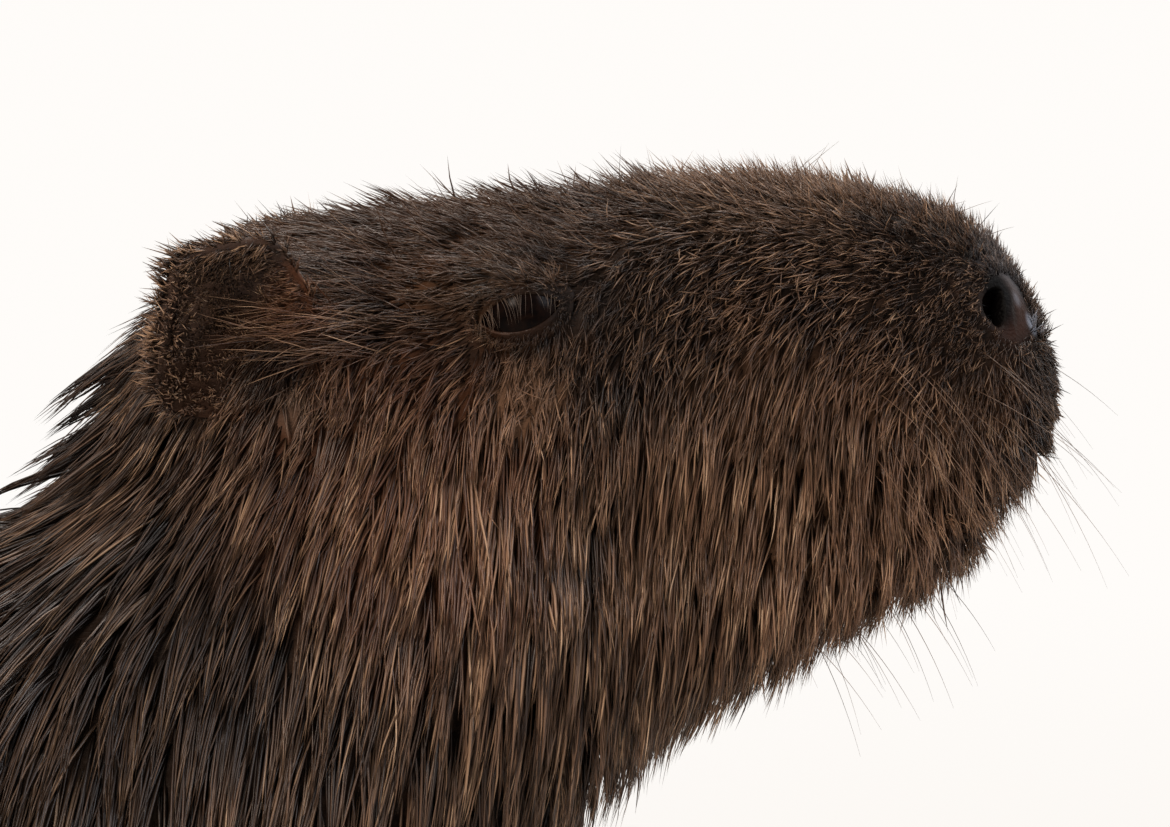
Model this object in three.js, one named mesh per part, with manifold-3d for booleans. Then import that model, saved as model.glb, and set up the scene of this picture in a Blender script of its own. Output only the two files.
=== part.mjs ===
// A capybara standing with its head raised, life size, in millimetres.
// +X is forwards, +Y is the animal's left and +Z is up. The floor is z = 0, and the soles are flat on it.
// Each length of the body is a loft: a row of rounded sections, set out in a table of named sizes.
// The lofts are joined into one animal, which thin plane cuts then part into its named pieces.
import * as THREE from "three";
import { mergeVertices } from "three/addons/utils/BufferGeometryUtils.js";
import Module from "manifold-3d";

const wasm = await Module();
wasm.setup();

// Driving dimensions
const gap = 0.3; // left between two pieces that meet
const midBodyX = -86.3; // moves the model so that x = 0 is the middle of its length
const eyeX = 430; // the head's sizes are measured from its eye
const eyeZ = 655;
const eyeOutY = 50; // middle of the eyeball from the midline
const eyeRadius = 14;
const stride = { leftFore: 14, rightFore: -8, leftHind: -16, rightHind: 12 };

// Coat: the tables below give the outline at the tips of the hair, and the core lies deeper under the locks
const depth = { body: 13, neck: 12, cheek: 7, crown: 4, thigh: 6, short: 0 };

const colours = { coat: 0x4a382b, leg: 0x3a2c23, skin: 0x352b29, eye: 0x140d0b, claw: 0x2c2623 };

// Seeded draw between 0 and 1, the same on each run
function seededDraw(seed) {
  let state = seed;
  return () => {
    state = (state + 0x6d2b79f5) | 0;
    let t = Math.imul(state ^ (state >>> 15), 1 | state);
    t = (t + Math.imul(t ^ (t >>> 7), 61 | t)) ^ t;
    return ((t ^ (t >>> 14)) >>> 0) / 4294967296;
  };
}

// A named field of a table of stations, on a smooth curve through the table's rows
function fieldAt(stations, field, u) {
  const last = stations.length - 1;
  const at = Math.min(Math.max(u, 0), last);
  const i = Math.min(Math.floor(at), last - 1);
  const t = at - i;
  const value = (k) => stations[Math.min(Math.max(k, 0), last)][field];
  const [a, b, c, d] = [value(i - 1), value(i), value(i + 1), value(i + 2)];
  const bend = t * (2 * a - 5 * b + 4 * c - d + t * (3 * b - a - 3 * c + d));
  return b + 0.5 * t * (c - a + bend);
}

const stationFields = ["x", "y", "z", "lean", "up", "down", "half", "square", "fur"];

// A body shape: its sections lie in planes through y, tilted by lean, and are rounded rectangles
class Loft {
  constructor(stations, grow = 0) {
    this.stations = stations;
    this.grow = grow;
  }

  // Point on the surface: u counts the table's rows, and angle is 0 at the left side and 90 degrees at the top
  point(u, angle, height = 0) {
    const s = {};
    for (const field of stationFields) s[field] = fieldAt(this.stations, field, u);
    const extra = this.grow + height - s.fur;
    const roundness = 2 / s.square;
    const across = Math.cos(angle);
    const upward = Math.sin(angle);
    const side = Math.max(s.half + extra, 0.5) * Math.sign(across) * Math.abs(across) ** roundness;
    const reach = Math.max((upward > 0 ? s.up : s.down) + extra, 0.5);
    const rise = reach * Math.sign(upward) * Math.abs(upward) ** roundness;
    return new THREE.Vector3(s.x + rise * Math.cos(s.lean), s.y + side, s.z + rise * Math.sin(s.lean));
  }

  // Directions along the surface, and the one out of it
  frame(u, angle) {
    const du = 0.02;
    const da = 0.03;
    const along = this.point(u + du, angle).sub(this.point(u - du, angle)).divideScalar(2 * du);
    const round = this.point(u, angle + da).sub(this.point(u, angle - da)).divideScalar(2 * da);
    const middle = new THREE.Vector3(
      fieldAt(this.stations, "x", u),
      fieldAt(this.stations, "y", u),
      fieldAt(this.stations, "z", u),
    );
    const out = new THREE.Vector3().crossVectors(along, round).normalize();
    if (out.dot(this.point(u, angle).sub(middle)) < 0) out.negate();
    return { along, round, out };
  }

  // Closed mesh, with sides points round each section and steps sections for each row of the table
  geometry(sides, steps) {
    const count = (this.stations.length - 1) * steps;
    const rings = [];
    for (let k = 0; k <= count; k++) {
      const ring = [];
      for (let j = 0; j < sides; j++) ring.push(this.point(k / steps, (2 * Math.PI * j) / sides));
      rings.push(ring);
    }
    return ringMesh(rings);
  }
}

// Closed mesh from rings of points, with a flat fan over each end
function ringMesh(rings) {
  const sides = rings[0].length;
  const corners = rings.flat();
  const middleOf = (ring) =>
    ring.reduce((sum, p) => sum.add(p), new THREE.Vector3()).divideScalar(sides);
  const first = corners.push(middleOf(rings[0])) - 1;
  const last = corners.push(middleOf(rings.at(-1))) - 1;
  const faces = [];
  for (let j = 0; j < sides; j++) {
    const next = (j + 1) % sides;
    for (let k = 0; k < rings.length - 1; k++) {
      const a = k * sides + j;
      const b = k * sides + next;
      faces.push(a, b, b + sides, a, b + sides, a + sides);
    }
    const end = (rings.length - 1) * sides;
    faces.push(first, next, j, last, end + j, end + next);
  }
  const geometry = new THREE.BufferGeometry();
  geometry.setAttribute("position", new THREE.Float32BufferAttribute(corners.flatMap((p) => p.toArray()), 3));
  geometry.setIndex(faces);
  return geometry;
}

// Closed mesh from rings of points, a flat fan over the first and a single point at the end
function pointedMesh(rings) {
  const sides = rings[0].length;
  const corners = rings.flat();
  const tip = corners.length - 1;
  const faces = [];
  for (let j = 0; j < sides; j++) {
    const next = (j + 1) % sides;
    for (let k = 0; k < rings.length - 2; k++) {
      const [a, b] = [k * sides + j, k * sides + next];
      faces.push(a, b, b + sides, a, b + sides, a + sides);
    }
    const before = (rings.length - 2) * sides;
    faces.push(before + j, before + next, tip);
    if (j > 1) faces.push(0, j, j - 1);
  }
  const geometry = new THREE.BufferGeometry();
  geometry.setAttribute("position", new THREE.Float32BufferAttribute(corners.flatMap((p) => p.toArray()), 3));
  geometry.setIndex(faces);
  return geometry;
}

// Closed geometry as a solid, turned right way out
function solid(geometry) {
  const plain = geometry.clone();
  plain.deleteAttribute("normal");
  plain.deleteAttribute("uv");
  const merged = mergeVertices(plain, 1e-4);
  const triVerts = new Uint32Array(merged.index.array);
  const vertProperties = merged.attributes.position.array;
  const made = new wasm.Manifold(new wasm.Mesh({ numProp: 3, vertProperties, triVerts }));
  if (made.volume() > 0) return made;
  for (let i = 0; i < triVerts.length; i += 3) {
    [triVerts[i + 1], triVerts[i + 2]] = [triVerts[i + 2], triVerts[i + 1]];
  }
  return new wasm.Manifold(new wasm.Mesh({ numProp: 3, vertProperties, triVerts }));
}

// Closed mesh from rings that join end to end, such as a tyre
function closedLoop(rings) {
  const sides = rings[0].length;
  const corners = rings.flat();
  const faces = [];
  for (let k = 0; k < rings.length; k++) {
    const after = (k + 1) % rings.length;
    for (let j = 0; j < sides; j++) {
      const next = (j + 1) % sides;
      const [a, b] = [k * sides + j, k * sides + next];
      const [c, d] = [after * sides + next, after * sides + j];
      faces.push(a, b, c, a, c, d);
    }
  }
  const geometry = new THREE.BufferGeometry();
  geometry.setAttribute("position", new THREE.Float32BufferAttribute(corners.flatMap((p) => p.toArray()), 3));
  geometry.setIndex(faces);
  return solid(geometry);
}

function joined(solids) {
  return solids.reduce((sum, one) => sum.add(one));
}

// The largest closed body of a solid, without loose scraps
function largest(made) {
  return made.decompose().reduce((best, one) => (one.volume() > best.volume() ? one : best));
}

// Box with its near face on a plane through a point, reaching out along the given direction
function beyondPlane(point, direction, size = 1400) {
  const box = new THREE.BoxGeometry(size, size, size);
  box.translate(0, 0, size / 2);
  const turn = new THREE.Quaternion().setFromUnitVectors(
    new THREE.Vector3(0, 0, 1),
    direction.clone().normalize(),
  );
  box.applyQuaternion(turn);
  box.translate(point.x, point.y, point.z);
  return solid(box);
}

// Two boxes either side of a cut, a gap apart
function cutAt(point, direction) {
  const unit = direction.clone().normalize();
  const back = unit.clone().negate();
  return {
    beyond: beyondPlane(point.clone().addScaledVector(unit, gap / 2), unit),
    before: beyondPlane(point.clone().addScaledVector(back, gap / 2), back),
  };
}

function block(low, high) {
  const box = new THREE.BoxGeometry(high[0] - low[0], high[1] - low[1], high[2] - low[2]);
  box.translate((low[0] + high[0]) / 2, (low[1] + high[1]) / 2, (low[2] + high[2]) / 2);
  return solid(box);
}

function ball(radii, centre, turns = [0, 0, 0], segments = [16, 10]) {
  const sphere = new THREE.SphereGeometry(1, ...segments);
  sphere.scale(...radii);
  sphere.rotateX(turns[0]);
  sphere.rotateY(turns[1]);
  sphere.rotateZ(turns[2]);
  sphere.translate(...centre);
  return solid(sphere);
}

// Section upright in x: top and bottom heights
function upright(x, top, bottom, half, square, fur = depth.short) {
  const z = (top + bottom) / 2;
  const reach = (top - bottom) / 2;
  return { x, y: 0, z, lean: Math.PI / 2, up: reach, down: reach, half, square, fur };
}

// Section across the neck, from its nape to its throat
function sloping(nape, throat, half, square, fur = depth.neck) {
  const reach = Math.hypot(nape[0] - throat[0], nape[1] - throat[1]) / 2;
  return {
    x: (nape[0] + throat[0]) / 2,
    y: 0,
    z: (nape[1] + throat[1]) / 2,
    lean: Math.atan2(nape[1] - throat[1], nape[0] - throat[0]),
    up: reach,
    down: reach,
    half,
    square,
    fur,
  };
}

// Level section through a limb
function level(z, x, y, fore, aft, half, fur = depth.short) {
  return { x, y, z, lean: 0, up: fore, down: aft, half, square: 2.2, fur };
}

// Sizes from the eye, placed in the model
const fromEye = (dx, top, bottom, half, square, fur = depth.short) =>
  upright(eyeX + dx, eyeZ + top, eyeZ + bottom, half, square, fur);

// Torso, from the rump to the breast: x, top of the back, belly, half width, squareness
const torsoTable = [
  upright(-404, 446, 350, 38, 2, depth.body),
  upright(-393, 486, 312, 82, 2.05, depth.body),
  upright(-360, 530, 268, 122, 2.1, depth.body),
  upright(-300, 568, 230, 148, 2.15, depth.body),
  upright(-210, 590, 200, 164, 2.25, depth.body),
  upright(-100, 594, 184, 170, 2.25, depth.body),
  upright(10, 589, 178, 170, 2.25, depth.body),
  upright(110, 580, 184, 162, 2.2, depth.body),
  upright(200, 570, 200, 150, 2.2, depth.body),
  upright(280, 545, 224, 132, 2.2, depth.body),
  upright(340, 508, 264, 106, 2.1, depth.body),
  upright(378, 462, 316, 70, 2, depth.body),
  upright(391, 420, 356, 30, 2, depth.body),
];

// Neck, from inside the head to inside the torso
const neckTable = [
  sloping([366, 675], [492, 559], 60, 2.2),
  sloping([320, 647], [486, 537], 79, 2.2),
  sloping([278, 606], [461, 504], 94, 2.2),
  sloping([232, 580], [436, 462], 111, 2.2),
  sloping([170, 573], [410, 412], 127, 2.2),
  sloping([100, 548], [364, 330], 118, 2.2),
];

// Skull and muzzle, from the nose to the back of the head
const skullTable = [
  fromEye(157, -17, -37, 12, 2),
  fromEye(155, -7, -44, 21, 2.2),
  fromEye(150, 5, -51, 31, 2.5),
  fromEye(142, 19, -57, 38, 2.7),
  fromEye(128, 30.5, -61, 43, 2.9),
  fromEye(105, 38.5, -64, 48, 2.9),
  fromEye(75, 43, -70, 53, 2.8, 1),
  fromEye(40, 41.5, -77, 58.5, 2.7, 3),
  fromEye(5, 37, -83, 64, 2.5, depth.crown),
  fromEye(-30, 33, -85, 68, 2.4, 5),
  fromEye(-60, 30, -82, 70, 2.3, depth.cheek),
  fromEye(-88, 20, -74, 66, 2.2, depth.cheek),
  fromEye(-110, 0, -58, 48, 2, depth.cheek),
];

// Lower jaw, from the chin to behind the cheek
const jawTable = [
  fromEye(134, -54, -72, 16, 2),
  fromEye(129, -48, -81, 26, 2.2),
  fromEye(112, -42, -92, 36, 2.3),
  fromEye(86, -42, -103, 43, 2.3),
  fromEye(56, -44, -120, 49, 2.2, 3),
  fromEye(22, -48, -132, 56, 2.2, depth.cheek),
  fromEye(-20, -46, -128, 60, 2.2, depth.cheek),
  fromEye(-58, -50, -96, 48, 2, depth.cheek),
];

// Fore limb from the shoulder to the wrist, and hind limb from the hip to the ankle
const foreTable = (side, step) => [
  level(360, 268, side * 80, 70, 70, 48, depth.thigh),
  level(300, 266, side * 94, 74, 72, 56, depth.thigh),
  level(245, 258 + 0.2 * step, side * 98, 58, 60, 50),
  level(195, 252 + 0.4 * step, side * 98, 42, 46, 40),
  level(140, 251 + 0.6 * step, side * 97, 33, 33, 33),
  level(90, 256 + 0.85 * step, side * 96, 28, 27, 29),
  level(52, 262 + step, side * 96, 31, 28, 33),
  level(-4, 268 + step, side * 96, 34, 32, 36),
];
const hindTable = (side, step) => [
  level(490, -290, side * 92, 70, 70, 44, depth.thigh),
  level(420, -272, side * 108, 108, 98, 58, depth.thigh),
  level(345, -250, side * 116, 116, 100, 62, depth.thigh),
  level(280, -234, side * 118, 100, 88, 58, depth.thigh),
  level(225, -244 + 0.3 * step, side * 116, 68, 70, 46),
  level(180, -270 + 0.5 * step, side * 112, 44, 52, 36),
  level(138, -284 + 0.7 * step, side * 109, 32, 33, 30),
  level(90, -275 + 0.9 * step, side * 106, 29, 27, 29),
  level(50, -264 + step, side * 105, 32, 28, 33),
  level(-4, -258 + step, side * 105, 36, 32, 36),
];

const foreFoot = { x: 266, y: 96, toes: [-27, -10, 9, 26], reach: [48, 60, 60, 46], radius: 11.5, splay: 0.18 };
const hindFoot = { x: -260, y: 105, toes: [-22, 0, 22], reach: [56, 70, 56], radius: 13, splay: 0.14 };

// Toe: a short loft from inside the foot to its rounded end. The claw grows on from there
function toeTable(foot, index, side, step) {
  const offset = foot.toes[index];
  const turn = foot.splay * (offset / 20);
  const station = (along, z, reach, half) => ({
    x: foot.x + step + along,
    y: side * foot.y + offset + turn * along,
    z,
    lean: Math.PI / 2,
    up: reach,
    down: reach,
    half,
    square: 2.2,
    fur: depth.short,
  });
  const r = foot.radius;
  const tip = foot.reach[index];
  return [
    station(0, 16, r, r * 0.9),
    station(tip * 0.76, 10, r * 1.05, r * 0.92),
    station(tip, 8, r * 0.6, r * 0.55),
  ];
}

function clawTable(foot, index, side, step) {
  const offset = foot.toes[index];
  const turn = foot.splay * (offset / 20);
  const station = (along, z, reach, half) => ({
    x: foot.x + step + foot.reach[index] + along,
    y: side * foot.y + offset + turn * (foot.reach[index] + along),
    z,
    lean: Math.PI / 2,
    up: reach,
    down: reach,
    half,
    square: 2.4,
    fur: depth.short,
  });
  return [
    station(-9, 10, 6.8, 6.2),
    station(3, 8.4, 6.2, 6),
    station(17, 4, 2.4, 3),
  ];
}

// The lie of the coat: the way the hair points on the head, neck, trunk and limbs
function lieAt(p, region) {
  const dx = p.x - eyeX;
  const dz = p.z - eyeZ;
  if (region === "torso") {
    const breast = Math.min(Math.max((p.x - 260) / 110, 0), 1);
    const flank = p.z > 500 ? 0.05 : 0.32;
    return new THREE.Vector3(-1 + 0.6 * breast, 0, -flank - 0.6 * breast);
  }
  if (region === "limb") return new THREE.Vector3(-0.35, 0, -1);
  if (region === "neck") {
    const nape = Math.min(Math.max((dz - 0.84 * dx - 30) / 50, 0), 1);
    return new THREE.Vector3(-0.4 - 0.4 * nape, 0, -0.9 + 0.2 * nape);
  }
  const crown = Math.min(Math.max((dz + 18) / 30, 0), 1);
  return new THREE.Vector3(-0.25 - 0.8 * crown, 0, -1 + 0.95 * crown);
}

// Flat tapered lock, rooted in a loft at (u, angle). It follows the lie, bends with the body and lifts to its tip
function lockOn(loft, region, u, angle, size, draw) {
  const shares = [0, 0.32, 0.68, 1];
  const last = loft.stations.length - 1;
  const stray = (draw() - 0.5) * 0.5;
  const rings = [];
  let [atU, atAngle] = [u, angle];
  for (const [k, share] of shares.entries()) {
    const { along, round, out } = loft.frame(atU, atAngle);
    const lie = lieAt(loft.point(atU, atAngle), region).normalize().applyAxisAngle(out, stray * share);
    const toU = lie.dot(along) / Math.max(along.lengthSq(), 400);
    const toAngle = lie.dot(round) / Math.max(round.lengthSq(), 400);
    const way = along.clone().multiplyScalar(toU).addScaledVector(round, toAngle);
    const pace = 1 / Math.max(way.length(), 0.3);
    way.normalize();
    const across = new THREE.Vector3().crossVectors(way, out).normalize();
    const wide = (size.width / 2) * [0.6, 1, 0.72, 0][k];
    const thick = (size.thick / 2) * [1, 1, 0.8, 0][k];
    const height = [-size.sink, 0.42 * size.lift, 0.8 * size.lift, size.lift][k];
    const middle = loft.point(atU, atAngle, height);
    if (share === 1) {
      rings.push([middle]);
      break;
    }
    const under = middle.clone().addScaledVector(out, -thick);
    rings.push([
      under.clone().addScaledVector(across, wide),
      middle.clone().addScaledVector(out, thick),
      under.addScaledVector(across, -wide),
    ]);
    const step = size.length * (shares[k + 1] - share) * pace;
    atU = Math.min(Math.max(atU + toU * step, 0.1), last - 0.1);
    atAngle += toAngle * step;
  }
  return solid(pointedMesh(rings));
}

// Rows of locks over a loft: each row is staggered, and each lock varies a little
function coatOn(loft, region, rows, seed) {
  const draw = seededDraw(seed);
  const made = [];
  for (const [r, row] of rows.entries()) {
    for (let j = 0; j < row.count; j++) {
      const place = (j + 0.5 + (r % 2 ? 0.25 : -0.25) + (draw() - 0.5) * 0.4) / row.count;
      const angle = ((row.from + (row.to - row.from) * place) * Math.PI) / 180;
      const vary = 0.82 + 0.36 * draw();
      const fit = Math.min(fieldAt(loft.stations, "half", row.u) / row.size.girth, 1);
      const size = { ...row.size };
      size.length *= vary * fit;
      size.width *= (1.9 - 0.9 * vary) * fit;
      size.lift *= 0.8 + 0.4 * draw();
      made.push(lockOn(loft, region, row.u + (draw() - 0.5) * 0.3, angle, size, draw));
    }
  }
  return made;
}

// Locks of each part of the coat. They shrink where the body is slimmer than girth, its half width
const lockSizes = {
  torso: { length: 176, width: 84, thick: 9, sink: 6, lift: 12, girth: 150 },
  neck: { length: 86, width: 34, thick: 7, sink: 5, lift: 11, girth: 80 },
  nape: { length: 66, width: 25, thick: 7, sink: 5, lift: 14, girth: 80 },
  cheek: { length: 48, width: 21, thick: 5, sink: 3.5, lift: 7, girth: 58 },
  crown: { length: 34, width: 16, thick: 4, sink: 3, lift: 5, girth: 58 },
  jaw: { length: 40, width: 19, thick: 5, sink: 3.5, lift: 8, girth: 50 },
  limb: { length: 96, width: 46, thick: 7, sink: 5, lift: 6, girth: 56 },
};
// Each row: station, span of angles in degrees, and number of locks
const rows = (size, list) => list.map(([u, from, to, count]) => ({ u, from, to, count, size: lockSizes[size] }));
const torsoRows = rows("torso", [
  [10.3, -60, 240, 7],
  [9.2, -60, 240, 7],
  [8.2, -60, 240, 8],
  [7.2, -75, 255, 8],
  [6.2, -75, 255, 8],
  [5.2, -75, 255, 8],
  [4.2, -50, 230, 7],
  [3.2, -40, 220, 7],
  [2, -40, 220, 7],
]);
const neckRows = [
  ...rows("neck", [
    [1, -150, -30, 4],
    [1.2, -20, 40, 2],
    [1.2, 140, 200, 2],
    [2, -160, -20, 4],
    [2.2, -10, 45, 2],
    [2.2, 135, 190, 2],
    [3, -120, 50, 4],
    [3, 130, 240, 3],
  ]),
  ...rows("nape", [
    [1.3, 55, 125, 3],
    [2, 50, 130, 4],
    [2.8, 50, 130, 4],
  ]),
];
const cheekList = [
  [5.9, -60, -12, 2],
  [6.9, -64, -4, 3],
  [7.9, -62, -6, 3],
  [8.8, -60, 16, 3],
  [9.7, -52, 14, 3],
];
const onOtherSide = ([u, from, to, count]) => [u, 180 - to, 180 - from, count];
const skullRows = [
  ...rows("cheek", cheekList),
  ...rows("cheek", cheekList.map(onOtherSide)),
  ...rows("crown", [
    [5.8, 58, 122, 2],
    [6.9, 52, 128, 3],
    [8, 48, 132, 4],
    [9.2, 42, 138, 4],
  ]),
];
const jawRows = rows("jaw", [
  [2.9, -150, -30, 3],
  [3.9, -160, -20, 4],
  [4.9, -165, -15, 4],
]);
const thighList = [
  [1.2, -60, 80, 4],
  [2.3, -60, 70, 3],
];

const lofts = {
  torso: new Loft(torsoTable),
  neck: new Loft(neckTable),
  skull: new Loft(skullTable),
  jaw: new Loft(jawTable),
};

// Lids: a swollen ring round the opening, over the ball, thicker along the top
function lidRing(side) {
  const rings = [];
  const round = 16;
  const tube = 5;
  for (let k = 0; k < round; k++) {
    const t = (2 * Math.PI * k) / round;
    const open = { x: 13.2 * Math.cos(t), z: 6.4 * Math.sin(t) - 1.5 * Math.cos(t) };
    const bulge = Math.sqrt(Math.max(15.2 ** 2 - open.x ** 2 - open.z ** 2, 9));
    const middle = new THREE.Vector3(eyeX + open.x, side * (eyeOutY + bulge), eyeZ + open.z);
    const away = new THREE.Vector3(Math.cos(t), 0, Math.sin(t));
    const out = new THREE.Vector3(0, side, 0);
    const size = 2.6 + 1.2 * Math.max(Math.sin(t), 0);
    const ring = [];
    for (let j = 0; j < tube; j++) {
      const a = (2 * Math.PI * j) / tube;
      const point = middle.clone().addScaledVector(away, size * (0.7 + Math.cos(a)));
      ring.push(point.addScaledVector(out, size * Math.sin(a)));
    }
    rings.push(ring);
  }
  return closedLoop(rings);
}

const mouth = { front: 150, back: 78, z: -61, drop: 10, height: 1.6, depth: 7 };
const nostril = { dx: 140, y: 30, dz: 2, radii: [3.4, 9, 6.8] };

// Thin slot along the line of the mouth, cut only as deep as the lips
function mouthGroove() {
  const { front, back, z, drop, height } = mouth;
  const line = new THREE.Shape([
    new THREE.Vector2(eyeX + front, eyeZ + z + height / 2),
    new THREE.Vector2(eyeX + back, eyeZ + z - drop + height / 4),
    new THREE.Vector2(eyeX + back, eyeZ + z - drop - height / 4),
    new THREE.Vector2(eyeX + front, eyeZ + z - height / 2),
  ]);
  const slab = new THREE.ExtrudeGeometry(line, { depth: 160, bevelEnabled: false, steps: 1 });
  slab.rotateX(Math.PI / 2);
  slab.translate(0, 80, 0);
  const inside = new Loft(skullTable, -mouth.depth).geometry(14, 1);
  return solid(slab).subtract(solid(inside));
}

// Head: skull and jaw joined, with the mouth's line, nostrils and lids
function headSolid() {
  const skull = solid(lofts.skull.geometry(24, 2));
  const jaw = solid(lofts.jaw.geometry(16, 2));
  let head = joined([skull, jaw, lidRing(1), lidRing(-1)]);
  head = head.subtract(mouthGroove());
  for (const side of [1, -1]) {
    const centre = [eyeX + nostril.dx, side * nostril.y, eyeZ + nostril.dz];
    head = head.subtract(ball(nostril.radii, centre, [0, 0.25, side * 0.5], [10, 6]));
  }
  return head;
}

function eyeball(side, grow) {
  const radius = eyeRadius + grow;
  return ball([radius, radius, radius], [eyeX, side * eyeOutY, eyeZ], [Math.PI / 2, 0, 0], [14, 9]);
}

// Ear: a rounded cup that leans out and back, with its hollow facing outwards and forwards
const ear = { dx: -87, y: 64, dz: -7, radii: [26, 12, 28], wall: 3.2, leanOut: 0.42, turnBack: -0.5 };

// Solid ear without its hollow, grown on all sides
function earBlank(side, grow) {
  const shell = new THREE.SphereGeometry(1, 14, 8);
  shell.scale(...ear.radii.map((r) => r + grow));
  return solid(earPlaced(shell, side));
}

function earPlaced(shape, side) {
  shape.rotateX(-side * ear.leanOut);
  shape.rotateZ(side * ear.turnBack);
  shape.translate(eyeX + ear.dx, side * ear.y, eyeZ + ear.dz);
  return shape;
}

function earSolid(side) {
  const hollow = new THREE.SphereGeometry(1, 12, 7);
  hollow.scale(ear.radii[0] - ear.wall, ear.radii[1], ear.radii[2] - ear.wall);
  hollow.translate(3, side * ear.wall * 1.5, -3);
  return earBlank(side, 0).subtract(solid(earPlaced(hollow, side)));
}

function footSolid(foot, side, step) {
  const toes = foot.toes.map((_, index) => solid(new Loft(toeTable(foot, index, side, step)).geometry(7, 1)));
  return joined(toes);
}

function tailSolid() {
  return ball([15, 12, 10], [-401, 0, 432], [0, 0.5, 0], [10, 6]);
}

// Flesh and coat joined, down to the floor
function wholeAnimal() {
  const flesh = [
    solid(lofts.torso.geometry(24, 1)),
    solid(lofts.neck.geometry(20, 2)),
    headSolid(),
    tailSolid(),
  ];
  const locks = [
    ...coatOn(lofts.torso, "torso", torsoRows, 7),
    ...coatOn(lofts.neck, "neck", neckRows, 11),
    ...coatOn(lofts.skull, "head", skullRows, 5),
    ...coatOn(lofts.jaw, "head", jawRows, 3),
  ];
  for (const [side, fore, hind] of [
    [1, stride.leftFore, stride.leftHind],
    [-1, stride.rightFore, stride.rightHind],
  ]) {
    const thigh = new Loft(hindTable(side, hind));
    flesh.push(solid(new Loft(foreTable(side, fore)).geometry(14, 1)), solid(thigh.geometry(14, 1)));
    flesh.push(footSolid(foreFoot, side, fore), footSolid(hindFoot, side, hind));
    const onSide = side > 0 ? thighList : thighList.map(onOtherSide);
    locks.push(...coatOn(thigh, "limb", rows("limb", onSide), 17 + side));
  }
  const ears = joined([earBlank(1, gap), earBlank(-1, gap)]);
  const floor = block([-900, -400, -100], [900, 400, 0]);
  return joined([...flesh, joined(locks).subtract(ears)]).subtract(floor);
}

// Planes that part the animal: a point on each, and the way its far piece lies
const headCut = cutAt(new THREE.Vector3(400, 0, 585), new THREE.Vector3(0.528, 0, 0.849));
const neckCut = cutAt(new THREE.Vector3(286, 0, 486), new THREE.Vector3(0.64, 0, 0.768));
const tailCut = cutAt(new THREE.Vector3(-405.5, 0, 432), new THREE.Vector3(-1, 0, 0));
const wristZ = 62;
// Each limb's region: its front plane runs from a low to a high point in x and z
const foreRegion = { rear: 192, low: [352, 200], high: [330, 330], top: 318, inner: 150, outerY: 172 };
const hindRegion = { rear: -430, low: [-122, 200], high: [-200, 440], top: 440, inner: 110, outerY: 178 };

// Region of one limb: behind its front plane, on one side, and under a plane that slopes up and out
function limbRegion(region, side, grow) {
  const under = new THREE.Vector3(0, side * (region.top - region.inner), -region.outerY).normalize();
  const edge = new THREE.Vector3(0, side * region.outerY, region.top).addScaledVector(under, -grow);
  const [low, high] = [region.low, region.high];
  const behind = new THREE.Vector3(low[1] - high[1], 0, high[0] - low[0]).normalize();
  const brow = new THREE.Vector3(low[0], 0, low[1]).addScaledVector(behind, -grow);
  const near = side > 0 ? [2 - grow, 400] : [-400, -2 + grow];
  const slab = block([region.rear - grow, near[0], -10], [500, near[1], 700]);
  return slab.intersect(beyondPlane(edge, under)).intersect(beyondPlane(brow, behind));
}

const material = (colour, roughness = 0.9) =>
  new THREE.MeshStandardMaterial({ color: colour, roughness, metalness: 0 });

const capybara = new THREE.Group();
const model = new THREE.Group();
model.position.x = midBodyX;
capybara.add(model);

function addNode(name, made, look) {
  const { vertProperties, triVerts, numProp } = largest(made).getMesh();
  const geometry = new THREE.BufferGeometry();
  const corners = new Float32Array((vertProperties.length / numProp) * 3);
  for (let i = 0; i < corners.length / 3; i++) {
    corners.set(vertProperties.subarray(i * numProp, i * numProp + 3), i * 3);
  }
  geometry.setAttribute("position", new THREE.BufferAttribute(corners, 3));
  geometry.setIndex(new THREE.BufferAttribute(triVerts, 1));
  geometry.computeVertexNormals();
  const mesh = new THREE.Mesh(geometry, look);
  mesh.name = name;
  model.add(mesh);
}

const coatLook = material(colours.coat);
const legLook = material(colours.leg);
let rest = wholeAnimal();

// Eyes, with their sockets cut clear of them
for (const [side, word] of [[1, "left"], [-1, "right"]]) {
  addNode(`eye_${word}`, eyeball(side, 0), material(colours.eye, 0.1));
  rest = rest.subtract(eyeball(side, gap));
}

for (const [name, cut] of [["head", headCut], ["neck", neckCut], ["tail", tailCut]]) {
  addNode(name, rest.intersect(cut.beyond), coatLook);
  rest = rest.intersect(cut.before);
}

for (const [side, word] of [[1, "left"], [-1, "right"]]) {
  for (const [kind, region] of [["fore", foreRegion], ["hind", hindRegion]]) {
    const limb = rest.intersect(limbRegion(region, side, 0));
    rest = rest.subtract(limbRegion(region, side, gap));
    const ankle = cutAt(new THREE.Vector3(0, 0, wristZ), new THREE.Vector3(0, 0, 1));
    addNode(`${kind}leg_${word}`, limb.intersect(ankle.beyond), legLook);
    addNode(`${kind}foot_${word}`, limb.intersect(ankle.before), legLook);
  }
}
addNode("torso", rest, coatLook);

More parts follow.
